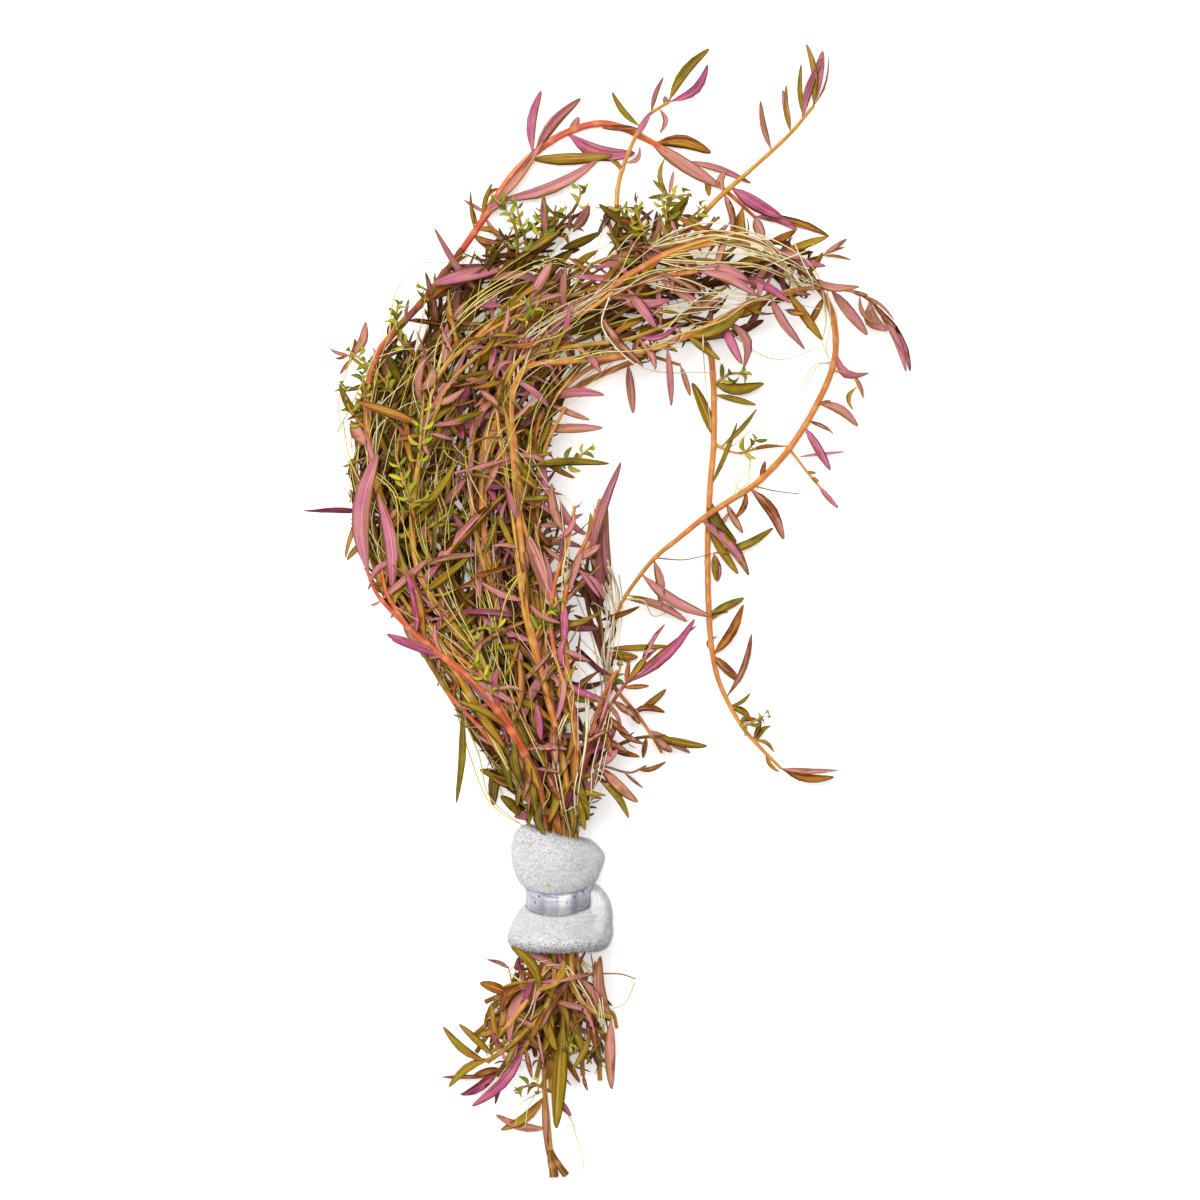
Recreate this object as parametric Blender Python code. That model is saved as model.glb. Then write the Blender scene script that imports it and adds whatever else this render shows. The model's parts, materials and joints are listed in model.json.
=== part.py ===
"""A bunch of rotala stems laid flat, tied through a foam pad by a bent metal strip.

The stems lie along Y with their growing tips towards +Y and their cut ends towards -Y.
+X is to the right of the bunch as seen from above, and +Z is up. Lengths are worked out
in millimetres from the middle of the foam pad. Each finished mesh is scaled to metres and
moved so that the origin is on the table, under the pad's upper lobe, which rests there.
"""

import math
import random

import bmesh
import bpy
from mathutils import Matrix, Vector
from mathutils.bvhtree import BVHTree

# Driving dimensions, in millimetres
METRES_PER_MM = 0.001
REST_Y = 8.6
GAP = 0.3
BUNCH_HEIGHT = 9.0
STEM_SIDES = 4

BORE_HALF = 5.4
BORE_SQUARENESS = 3.0
PAD_END = 15.0
PAD_STEPS = 24
PAD_FLATNESS = 0.92
LOBE_SWELL = 3.0
UPPER_LOBE_Y = 4.0
UPPER_LOBE_SLOPE = -0.13
WAIST_RADIUS = 6.6
WAIST_Y = -2.4
WAIST_MARGIN = 0.9
FLAP_RADIUS = 10.0
FLAP_BAND = (-11.0, -8.0)
FLAP_RISE = 9.0
FLAP_ANGLE = math.radians(-28)
FLAP_SPREAD = math.radians(62)

STRIP_WIDTH = 6.4
STRIP_THICKNESS = 0.6
STRIP_STEPS = 32
STRIP_TILT = math.radians(5)
STRIP_OVERLAP = math.radians(34)
STRIP_LIFT_START = 0.8
STRIP_LIFT_SHARE = 0.12

ROW_PITCH = 1.8
COLUMN_PITCH = 2.0
ROWS = {"bottom": 0, "low": 1, "middle": 2, "high": 3, "top": 4}
COLUMNS_IN_ROW = {"bottom": 4, "low": 5, "middle": 4, "high": 5, "top": 4}
LAYER_HEIGHT = {"bottom": 1.2, "low": 5.5, "middle": 9.7, "high": 13.9, "top": 18.1}
TAIL_HEIGHT = {"bottom": 1.2, "low": 3.7, "middle": 6.2, "high": 8.7, "top": 11.2}
FAN_END = 60.0
TAIL_FAN_END = -34.0

BORE_STEM_RADIUS = 0.78
TIP_STEM_RADIUS = 0.5
NODE_LENGTH = 1.2
NODE_SPACING = 19.5
RING_SPACING = 16.5
CLOSEST_NODES = 6.0
LEAF_THICKNESS = 0.55
SMALL_LEAF_SECTIONS = (0.4, 0.97)
LARGE_LEAF_SECTIONS = (0.2, 0.55, 0.97)
LARGE_LEAF = 15.0
LEAF_SEED = 7
FLOOR_CLEARANCE = 0.12

# Each stem: its row and column in the foam, its thickest radius, its colour, its route
# upwards from the foam and its route down in the tail. A route point is (x, y) where the
# stem lies in its row's layer, and (x, y, z) where it leaves the layer.
STEMS = {
    "stem_left_red": dict(
        row="top", column=0, radius=1.05, colour="red",
        route=[(-4.6, 25), (-7.2, 31), (-9.8, 36), (-13.2, 41), (-16.4, 45), (-21.4, 50.2),
               (-26, 54), (-31, 58), (-36, 62.5), (-41, 68), (-43.4, 73.5)],
        tail=[(-6.2, -23), (-10.5, -29), (-14, -33)],
        leaves=[((-43.4, 73), (-40.6, 99, 17.6), 4.4), ((-43.2, 72), (-44.6, 93, 17.4), 3.2),
                ((-42.6, 71), (-34.5, 79, 18.6), 3.4), ((-36, 62.5), (-38.5, 86, 18), 2.8),
                ((-25, 53.5), (-39.6, 58.5, 15.8), 2.6), ((-23.5, 52), (-38.2, 53.2, 16), 2.4),
                ((-13.6, 42), (-13.4, 50.5, 18.6), 2.8)],
    ),
    "stem_tan": dict(
        row="top", column=1, radius=0.95, colour="tan",
        route=[(-1.3, 25), (-3.6, 31), (-6.4, 36), (-9.8, 41), (-13.2, 46), (-17.8, 53),
               (-23, 60), (-28.6, 67), (-32.4, 76), (-33, 87), (-31.5, 98), (-29.5, 108),
               (-27, 117.5), (-20.2, 124.6), (-11.4, 130), (-6, 132)],
        tail=[(-1.4, -22.4), (-4, -28), (-10.6, -34.4), (-16.4, -38.6)],
        leaves=[((-6, 132), (-0.3, 144.4, 18.2), 3.4), ((-7.6, 131.4), (3.6, 137, 18.4), 2.4),
                ((-29, 68), (-12.8, 86.8, 18.6), 3.2), ((-16.4, -38.6), (-25.2, -45.2, 8.6), 2.4),
                ((-13, -36.6), (-25, -32, 9), 2.4)],
    ),
    "stem_right_tip": dict(
        row="top", column=2, radius=1.0, colour="orange",
        route=[(1.8, 25), (-1, 39), (-6, 60), (-8.6, 82), (-10, 97), (-10.4, 113),
               (-7, 119.4), (0.4, 120.6, 17.4), (15, 122.2, 14.6), (24, 124.8, 12),
               (32, 127.9, 9.8), (43.5, 134.2, 8), (55, 137.6, 6.3), (62.5, 138, 5.7),
               (68.6, 137.2, 4.2), (73, 134.4, 2.4)],
        tail=[(0.8, -19, 13.8), (-1.4, -20.8, 14.8), (-4.4, -21.8, 15)],
        leaves=[((73, 134.4), (80.6, 119.5, 1.6), 3.6), ((72, 135), (77.6, 121, 1.2), 2.6),
                ((60, 138), (66.4, 127, 4.6), 2.6), ((50, 136.6), (54, 125.2, 5.2), 2.8),
                ((50, 136.6), (60, 144, 6.4), 2.4), ((40, 132.2), (42.8, 122.4, 6.4), 2.8),
                ((40, 132.2), (48, 142, 8), 2.6), ((-10.4, 112), (10.8, 107.6, 16.6), 2.8),
                ((-8.8, 92), (11, 98.4, 17.4), 2.6), ((-8, 78), (2, 52.6, 18.8), 3.4),
                ((-4.4, -21.8), (-11, -12.9, 18.6), 3.0)],
    ),
    "stem_pale": dict(
        row="top", column=3, radius=0.95, colour="pink",
        route=[(4.8, 25), (3.4, 40), (1, 62), (2.6, 72), (7, 82), (9.4, 89.6)],
        tail=[(4.6, -23.8), (7.6, -26.8), (12, -28.4)],
        leaves=[((9.4, 89.6), (14.2, 98.8, 17.6), 3.2), ((8.8, 88), (8.6, 96.6, 19), 2.8),
                ((5, 78), (13.6, 80, 18), 2.6), ((1, 62), (14, 60, 18), 2.8),
                ((12, -28.4), (5.4, -14.8, 11.6), 3.0), ((12, -28.4), (11.7, -45.4, 5), 3.0)],
    ),
    "stem_top_loop": dict(
        row="high", column=0, radius=1.05, colour="red",
        route=[(-8.2, 25), (-14, 36), (-20.5, 46), (-27.5, 58), (-33.5, 70), (-38.5, 84),
               (-42.4, 98), (-43.6, 110), (-42, 121, 12.6), (-37, 128.4, 10.4),
               (-31.5, 134.6, 8.2), (-24.6, 143.8, 5.2), (-17.4, 154.4, 2.6),
               (-10.8, 164.6, 1.5), (-3.2, 171.6, 1.2), (4.6, 175.6, 1.1), (11.6, 176.4, 1.1),
               (21, 172.4, 1.1), (30, 167, 1.1), (38.6, 160.8, 1.1), (45, 155, 1.1)],
        tail=[(-8.4, -22), (-14.6, -24.6)],
        leaves=[((45, 155), (50.8, 154, 1.4), 4.0), ((43.4, 156.4), (62, 150.4, 1.8), 2.8),
                ((11.6, 176.4), (17.6, 184.6, 1.6), 2.4), ((20, 173), (34.8, 170.4, 1.4), 2.6),
                ((-3.2, 171.6), (-4.4, 183.4, 1.4), 2.6), ((-3.2, 171.6), (4.8, 182.2, 1.5), 2.8),
                ((1, 174), (17.2, 169.6, 2), 3.2), ((-9.8, 165.8), (12, 168.6, 2.4), 2.8),
                ((-13, 161.4), (8.6, 167.6, 2), 3.0), ((-27, 141.8), (-28.4, 152.4, 4), 2.4),
                ((-31, 135.2), (-32, 148, 6.4), 2.4)],
    ),
    "stem_sprouting_right": dict(
        row="high", column=1, radius=0.85, colour="olive",
        route=[(-5, 25), (-9.8, 37), (-17.6, 51), (-25.4, 66), (-31.4, 82), (-34, 93),
               (-33, 102), (-30, 109), (-24.6, 115.6)],
        tail=[(-6.6, -25), (-12.4, -31.4)],
        leaves=[((-24.6, 115.6), (-22.6, 124.4, 14.6), 3.2)],
    ),
    "stem_inner_arch": dict(
        row="high", column=2, radius=0.95, colour="orange",
        route=[(-1.8, 25), (-7.6, 45), (-14, 66), (-17.2, 85), (-16.4, 101), (-8.6, 117.6),
               (-4.4, 124.8), (1.2, 130), (6, 133.4), (13.6, 136.8), (19.6, 139.6, 13.6),
               (26.6, 141.4, 12.6), (33, 142.4, 11.6), (38.4, 140.6, 10.8)],
        tail=[(-2.6, -25), (-6.4, -33), (-9.4, -38)],
        leaves=[((38.4, 140.6), (45.4, 135.8, 10.6), 3.2), ((30, 142.2), (38, 149.4, 11.8), 2.6),
                ((19.6, 139.6), (27.4, 131, 13), 2.8)],
    ),
    "stem_bay_tip": dict(
        row="high", column=3, radius=0.9, colour="tan",
        route=[(1.4, 25), (-1.6, 44), (-3.4, 64), (-5, 83), (-3.4, 100), (1.6, 110.6)],
        tail=[(1.2, -26), (0.8, -36)],
        leaves=[((1.6, 110.6), (11.2, 106, 14), 2.8), ((1.6, 110.6), (9.6, 116.4, 13.4), 2.6),
                ((-3.2, 66), (1, 79, 14), 2.8)],
    ),
    "stem_magenta_shoot": dict(
        row="high", column=4, radius=0.85, colour="magenta",
        route=[(4.8, 25), (7.6, 34), (11.4, 42), (15.2, 47.6), (20, 52.6)],
        tail=[(5.4, -24), (8.4, -34)],
        leaves=[((20, 52.6), (31.6, 61.4, 13.6), 3.4), ((18.6, 51.4), (30, 57, 13.2), 2.8),
                ((15, 47.4), (23.6, 47.2, 13), 2.6), ((11.4, 42), (19, 35.6, 12.6), 2.8)],
    ),
    "stem_sprouting_left": dict(
        row="middle", column=0, radius=0.85, colour="olive",
        route=[(-7.2, 25), (-19, 41), (-27, 53), (-36, 66), (-42, 82), (-42, 100),
               (-39, 108), (-35.6, 116), (-33.4, 124)],
        tail=[(-8.4, -25), (-15.4, -31.6), (-19, -37)],
        leaves=[((-33.4, 124), (-31.6, 133, 10.8), 2.4), ((-15.4, -31.6), (-25.2, -31, 4), 2.6)],
    ),
    "stem_top_right": dict(
        row="middle", column=1, radius=0.9, colour="tan",
        route=[(-3.6, 25), (-13.6, 46), (-23, 66), (-27, 84), (-26.4, 101), (-20.6, 117),
               (-9.4, 132.6), (7, 142.8), (21, 147.6, 8.8), (30, 152.2, 6.6),
               (36.4, 158.8, 5), (44, 165.6, 3.2), (53, 174, 1.4), (58.6, 180.6, 1.1)],
        tail=[(-5, -27), (-9.6, -37), (-12, -41)],
        leaves=[((58.6, 180.6), (60.6, 192.8, 1.4), 3.2), ((57.4, 179.2), (57, 194.2, 1.6), 2.4),
                ((55, 176.4), (55.4, 188, 1.6), 2.4), ((49.6, 171), (51.6, 184.2, 1.8), 2.4),
                ((49, 170.4), (46.4, 181.4, 1.6), 2.4), ((30, 152.2), (38.2, 165.4, 6), 2.6),
                ((30, 152.2), (38, 145.6, 6), 2.6)],
    ),
    "stem_right_arc": dict(
        row="middle", column=2, radius=1.0, colour="orange",
        route=[(-0.2, 25), (-8.4, 48), (-17, 71), (-18.4, 94), (-12.6, 112.6), (0.2, 128.8),
               (14, 139), (23.4, 144.6, 9.2), (32.4, 148, 8), (39.8, 149.6, 6.6),
               (46.2, 148, 5.5), (52.6, 144.6, 4.6), (59.8, 138, 3.1), (63, 132, 1.8),
               (63.4, 122, 1.1), (58.8, 110.8, 1.1), (53, 101.6, 1.1), (48.6, 96.6, 1.4),
               (44.6, 93, 2.4), (38.4, 89, 3.8), (33, 85.4, 4.3), (27.6, 81, 4.5),
               (22, 76.4, 4.7), (17.6, 71, 5), (14.4, 66, 5.2), (12.6, 60.6, 5.4)],
        tail=[(-0.8, -26), (-2.2, -38), (-1.8, -46)],
        leaves=[((60.4, 113), (68.6, 107, 1.4), 2.8), ((61.6, 118), (69.4, 116, 1.6), 2.6),
                ((57, 107), (62.2, 97, 1.4), 2.6), ((53.2, 101.6), (65.8, 101, 1.4), 2.4),
                ((53, 101.4), (64, 88.6, 1.4), 2.2), ((44.4, 92.6), (51.8, 81, 1.8), 2.8),
                ((33, 85.4), (43.2, 72.6, 2), 3.0), ((22, 76.4), (34.6, 63.4, 2.6), 2.6),
                ((22, 76.4), (23, 64, 3.2), 2.6), ((17.6, 71), (28.8, 61.8, 3), 2.2)],
    ),
    "stem_lower_arch": dict(
        row="middle", column=3, radius=0.95, colour="orange",
        route=[(3.2, 25), (-1.4, 48), (-5.4, 70), (-8.6, 90), (-4.2, 108), (6, 119),
               (18.6, 122.6, 8.4), (27.8, 120.6, 6)],
        tail=[(2.8, -25), (3.6, -37)],
        leaves=[((27.8, 120.6), (33.4, 111.6, 3.6), 2.8), ((24, 121.6), (25.4, 110, 4.6), 2.6),
                ((18.6, 122.6), (16.8, 109.6, 6), 2.6), ((6, 119), (12.6, 110.4, 8), 2.6)],
    ),
    "stem_left_edge": dict(
        row="low", column=0, radius=0.95, colour="olive",
        route=[(-8.6, 25), (-21.6, 40), (-34, 60), (-44, 79), (-46.6, 98), (-43.4, 110),
               (-42.6, 117.4, 5.2), (-48.2, 123, 3.6)],
        tail=[(-9.4, -22), (-17, -25.6)],
        leaves=[((-48.2, 123), (-51, 129.8, 3), 2.4), ((-48.2, 123), (-45, 131.4, 3.4), 2.8),
                ((-46.6, 92), (-58.6, 87.4, 3.4), 2.2), ((-45.4, 104), (-50, 116.2, 5), 2.6),
                ((-45.6, 86), (-48.4, 76.4, 4.6), 2.4)],
    ),
    "stem_green_top": dict(
        row="low", column=1, radius=0.9, colour="olive",
        route=[(-5.2, 25), (-17, 45), (-29, 68), (-33.8, 90), (-31.4, 110), (-23.6, 128),
               (-13, 142), (-3, 149.6), (3.2, 156)],
        tail=[(-7, -26), (-13.6, -34)],
        leaves=[((3.2, 156), (6.4, 162.6, 5), 2.2), ((3.2, 156), (8.4, 158.4, 4.6), 2.2),
                ((-13, 142), (-12, 156, 5), 2.6)],
    ),
    "stem_top_tip": dict(
        row="low", column=2, radius=0.9, colour="tan",
        route=[(-1.9, 25), (-11.6, 46), (-18.6, 69), (-21.6, 89), (-16, 108.6), (-4, 123),
               (9, 132), (16.6, 138.4), (16, 144.8), (13.6, 153, 5), (13.4, 160.6, 4.8),
               (15, 167, 4.4), (18, 174, 4.2), (20.8, 178.4, 2.8), (25.2, 181.4, 1.6)],
        tail=[(-2, -28), (-4, -38), (-5.2, -43)],
        leaves=[((25.2, 181.4), (34.6, 192.4, 1.6), 2.6), ((25.2, 181.4), (33.8, 187.8, 1.4), 2.4),
                ((18, 174), (24, 187, 4), 2.4), ((17.4, 172.8), (12.4, 182.4, 3.8), 2.2),
                ((15.6, 168.6), (20.6, 159.6, 3.6), 2.0)],
    ),
    "stem_under_arch": dict(
        row="low", column=3, radius=0.95, colour="brown",
        route=[(1.4, 25), (-5.8, 46), (-10.6, 67), (-12.4, 88), (-7.8, 105.6), (3, 118.6),
               (16.4, 128), (30, 131.6, 4.8), (37.4, 129.6, 4.2)],
        tail=[(0.6, -27), (0.4, -40), (0.2, -44)],
        leaves=[((37.4, 129.6), (41, 124.4, 3.4), 3.0), ((33, 131.4), (38.4, 136.8, 4.6), 2.6),
                ((20, 130), (24, 119.4, 3.4), 2.4)],
    ),
    "stem_dark_right": dict(
        row="low", column=4, radius=0.85, colour="brown",
        route=[(4.8, 24), (9.8, 31), (17, 34.8), (24.4, 35.6)],
        tail=[(6, -24), (9.4, -32), (12.4, -37)],
        leaves=[((24.4, 35.6), (33.6, 34, 4), 2.6), ((23, 35.6), (30, 38.6, 4.6), 2.4),
                ((14, 33.6), (24.6, 26.2, 3.6), 2.8), ((8.4, 29.6), (16.2, 20.2, 3.4), 2.6),
                ((17, 34.8), (24, 43.4, 5), 2.6)],
    ),
    "stem_left_under": dict(
        row="bottom", column=0, radius=0.9, colour="olive",
        route=[(-8.4, 22), (-19, 35), (-26, 47.6), (-33, 63), (-38.4, 80), (-38.4, 100),
               (-32.6, 118), (-22.4, 133.6), (-9, 140), (0.2, 141.6)],
        tail=[(-8.4, -23), (-15.6, -30), (-20, -34)],
        leaves=[((-22.4, 41.6), (-23.4, 20, 2), 2.6), ((0.2, 141.6), (7.4, 149.6, 1.6), 2.4)],
    ),
    "stem_right_under": dict(
        row="bottom", column=1, radius=0.9, colour="brown",
        route=[(-4.8, 24), (-13.4, 44), (-21.4, 64), (-25, 84), (-22.6, 105), (-13, 120),
               (0.4, 129), (14, 134.4), (27.8, 136.8), (37, 140.6), (50, 143), (60.6, 146)],
        tail=[(-5.2, -26), (-10, -36), (-14.4, -43)],
        leaves=[((60.6, 146), (67, 148.8, 1.6), 2.2), ((60.6, 146), (66.4, 143, 1.4), 2.2),
                ((45, 142.2), (41, 151.4, 1.6), 2.6), ((-14.4, -43), (-20, -49.6, 1.4), 2.8),
                ((-12.6, -40.6), (-25, -46.4, 1.6), 2.4)],
    ),
    "stem_hanging": dict(
        row="bottom", column=2, radius=0.95, colour="orange",
        route=[(-1.4, 25), (-6.6, 45), (-10.4, 65), (-13.6, 85), (-8.6, 103.6), (3.6, 115.4),
               (18.6, 122.4), (29, 127.4), (34, 125.4), (35.4, 118.6), (35.6, 103),
               (34.8, 93.6), (34.2, 80), (34.4, 66), (35.2, 55), (37, 47.4), (41.8, 38),
               (46.4, 32.6), (51, 28)],
        tail=[(-1.2, -30), (-3.4, -42), (-2.6, -54), (-1.4, -65)],
        leaves=[((51, 28), (63.4, 27.2, 1.4), 2.8), ((35.6, 112), (46.8, 116.4, 1.6), 3.4),
                ((35.6, 103), (31, 115.8, 1.6), 2.8), ((35.4, 100.6), (42, 109, 1.4), 2.2),
                ((35, 96), (50.6, 102.4, 1.6), 1.8), ((34.6, 66), (42.6, 77, 1.4), 3.0),
                ((36, 54.4), (42.6, 65.4, 1.4), 2.4), ((36.6, 52), (43, 45, 1.4), 2.2),
                ((41.6, 38.6), (44.4, 58, 1.4), 2.0), ((-2.8, -52), (-13.6, -47, 1.4), 2.4),
                ((-3, -46), (-14, -53.6, 1.4), 2.6), ((-2.6, -44), (2, -56.6, 1.4), 2.6)],
    ),
    "stem_right_edge": dict(
        row="bottom", column=3, radius=0.9, colour="pink",
        route=[(3.4, 24), (8.6, 36), (11.4, 48), (9.6, 60), (8, 74), (10, 86)],
        tail=[(4.4, -24), (8.6, -34), (9.4, -44)],
        leaves=[((10, 86), (13.4, 97, 1.6), 3.0), ((8.2, 72), (14.6, 84, 1.6), 2.6),
                ((11.4, 48), (18.6, 56.6, 1.6), 2.6)],
    ),
}

COLOURS = {
    "red": (0.62, 0.14, 0.09),
    "orange": (0.56, 0.24, 0.07),
    "tan": (0.52, 0.33, 0.10),
    "olive": (0.23, 0.22, 0.03),
    "brown": (0.22, 0.10, 0.03),
    "pink": (0.55, 0.20, 0.22),
    "magenta": (0.44, 0.09, 0.22),
}


def clear_scene():
    for old in list(bpy.data.objects):
        bpy.data.objects.remove(old, do_unlink=True)


def make_material(name, colour, roughness, metallic=0.0):
    material = bpy.data.materials.new(name)
    material.use_nodes = True
    shader = material.node_tree.nodes["Principled BSDF"]
    shader.inputs["Base Color"].default_value = (*colour, 1.0)
    shader.inputs["Roughness"].default_value = roughness
    shader.inputs["Metallic"].default_value = metallic
    return material


def add_object(name, shape, material, collection):
    """Turns a bmesh in millimetres into a named object in metres."""
    bmesh.ops.recalc_face_normals(shape, faces=shape.faces)
    mesh = bpy.data.meshes.new(name)
    shape.to_mesh(mesh)
    shape.free()
    mesh.transform(Matrix.Scale(METRES_PER_MM, 4) @ Matrix.Translation((0, -REST_Y, 0)))
    mesh.materials.append(material)
    made = bpy.data.objects.new(name, mesh)
    collection.objects.link(made)
    return made


def squared(angle, share):
    """How much further out than a circle the squared-off bore reaches at this angle."""
    power = BORE_SQUARENESS
    reach = (abs(math.cos(angle)) ** power + abs(math.sin(angle)) ** power) ** (-1 / power)
    return 1 + share * (reach - 1)


def pad_profile():
    """The pad's wall as (radius, y): up the bore, then down over both lobes."""
    waist_top = WAIST_Y + STRIP_WIDTH / 2 + WAIST_MARGIN
    waist_bottom = WAIST_Y - STRIP_WIDTH / 2 - WAIST_MARGIN
    bore = [(BORE_HALF, -PAD_END + 0.6), (BORE_HALF, PAD_END - 0.6)]
    upper = [(8.2, PAD_END), (10.6, 12.4), (11.4, 8.6), (10.6, 5.2), (8.4, 2.9)]
    waist = [(WAIST_RADIUS, waist_top), (WAIST_RADIUS, waist_bottom)]
    lower = [(8.4, -7.5), (10.8, -8.4), (12.2, -10.6), (11.8, -13.2), (8.6, -PAD_END)]
    return bore + upper + waist + lower


def make_foam_pad(collection):
    shape = bmesh.new()
    ring = [shape.verts.new((radius, y, 0)) for radius, y in pad_profile()]
    edges = [shape.edges.new((ring[i - 1], ring[i])) for i in range(len(ring))]
    bmesh.ops.spin(
        shape, geom=ring + edges, cent=(0, 0, 0), axis=(0, 1, 0),
        angle=math.tau, steps=PAD_STEPS, use_merge=True, use_duplicate=False,
    )
    for vert in shape.verts:
        radius = math.hypot(vert.co.x, vert.co.z)
        angle = math.atan2(vert.co.z, vert.co.x)
        swell = min(max((radius - WAIST_RADIUS) / LOBE_SWELL, 0), 1)
        reach = radius * squared(angle, 1 - swell)
        if radius > FLAP_RADIUS and FLAP_BAND[0] < vert.co.y < FLAP_BAND[1]:
            away = abs(angle - FLAP_ANGLE) / FLAP_SPREAD
            vert.co.y += FLAP_RISE * max(0, 1 - away * away)
        in_upper_lobe = vert.co.y > UPPER_LOBE_Y and swell > 0
        slope = UPPER_LOBE_SLOPE * vert.co.x if in_upper_lobe else 0
        flatness = 1 + swell * (PAD_FLATNESS - 1)
        height = BUNCH_HEIGHT + reach * math.sin(angle) * flatness
        vert.co.x = reach * math.cos(angle)
        vert.co.y += slope
        vert.co.z = max(height, 0)
    foam = make_material("foam", (0.86, 0.87, 0.88), 0.95)
    return add_object("foam_pad", shape, foam, collection)


def make_metal_strip(collection):
    """A band bent a little more than once round the waist, its ends overlapping below."""
    shape = bmesh.new()
    start = -math.pi / 2 - STRIP_OVERLAP / 2
    inner = WAIST_RADIUS + GAP
    rise = STRIP_THICKNESS + GAP
    columns = []
    for step in range(STRIP_STEPS + 1):
        share = step / STRIP_STEPS
        angle = start + share * (math.tau + STRIP_OVERLAP)
        lift = rise * min(max((share - STRIP_LIFT_START) / STRIP_LIFT_SHARE, 0), 1)
        ring = []
        for side in (-0.5, 0.5):
            for depth in (0, STRIP_THICKNESS):
                reach = (inner + lift + depth) * squared(angle, 1)
                x = reach * math.cos(angle)
                y = WAIST_Y + side * STRIP_WIDTH + x * math.tan(STRIP_TILT)
                ring.append(shape.verts.new((x, y, BUNCH_HEIGHT + reach * math.sin(angle))))
        columns.append([ring[0], ring[1], ring[3], ring[2]])
    for near, far in zip(columns, columns[1:]):
        for i in range(4):
            shape.faces.new((near[i], near[i - 1], far[i - 1], far[i]))
    shape.faces.new(columns[0])
    shape.faces.new(reversed(columns[-1]))
    metal = make_material("brushed_metal", (0.62, 0.63, 0.66), 0.35, 1.0)
    return add_object("metal_strip", shape, metal, collection)


def row_height(row, y):
    """The height of a row's layer: tight in the foam, fanned out above and below it."""
    in_foam = BUNCH_HEIGHT + (ROWS[row] - 2) * ROW_PITCH
    if y > PAD_END:
        share = min((y - PAD_END) / (FAN_END - PAD_END), 1)
        return in_foam + (LAYER_HEIGHT[row] - in_foam) * math.sin(share * math.pi / 2)
    share = min((y + PAD_END) / (TAIL_FAN_END + PAD_END), 1) if y < -PAD_END else 0
    return in_foam + (TAIL_HEIGHT[row] - in_foam) * math.sin(share * math.pi / 2)


def route_points(stem):
    """Every route point of a stem from its cut end to its tip, through the foam."""
    row = stem["row"]
    across = (stem["column"] - (COLUMNS_IN_ROW[row] - 1) / 2) * COLUMN_PITCH
    in_foam = [(across, y) for y in (-PAD_END - 2, -PAD_END + 3, PAD_END - 3, PAD_END + 2)]
    listed = list(reversed(stem["tail"])) + in_foam + stem["route"]
    points = []
    for point in listed:
        x, y = point[:2]
        height = point[2] if len(point) == 3 else row_height(row, y)
        points.append(Vector((x, y, height)))
    return points


def smooth_line(points, step=0.5):
    """Samples of a centripetal Catmull-Rom curve through the points."""
    padded = [2 * points[0] - points[1]] + points + [2 * points[-1] - points[-2]]
    line = []
    for i in range(1, len(padded) - 2):
        before, start, end, after = padded[i - 1:i + 3]
        span = (end - start).length
        tangent_in = (end - before) * span / ((start - before).length + span)
        tangent_out = (after - start) * span / ((after - end).length + span)
        count = max(int(span / step), 1)
        for k in range(count):
            t = k / count
            line.append(
                start * (2 * t**3 - 3 * t**2 + 1)
                + tangent_in * (t**3 - 2 * t**2 + t)
                + end * (3 * t**2 - 2 * t**3)
                + tangent_out * (t**3 - t**2)
            )
    line.append(padded[-2].copy())
    return line


def line_lengths(line):
    lengths = [0.0]
    for near, far in zip(line, line[1:]):
        lengths.append(lengths[-1] + (far - near).length)
    return lengths


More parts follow.
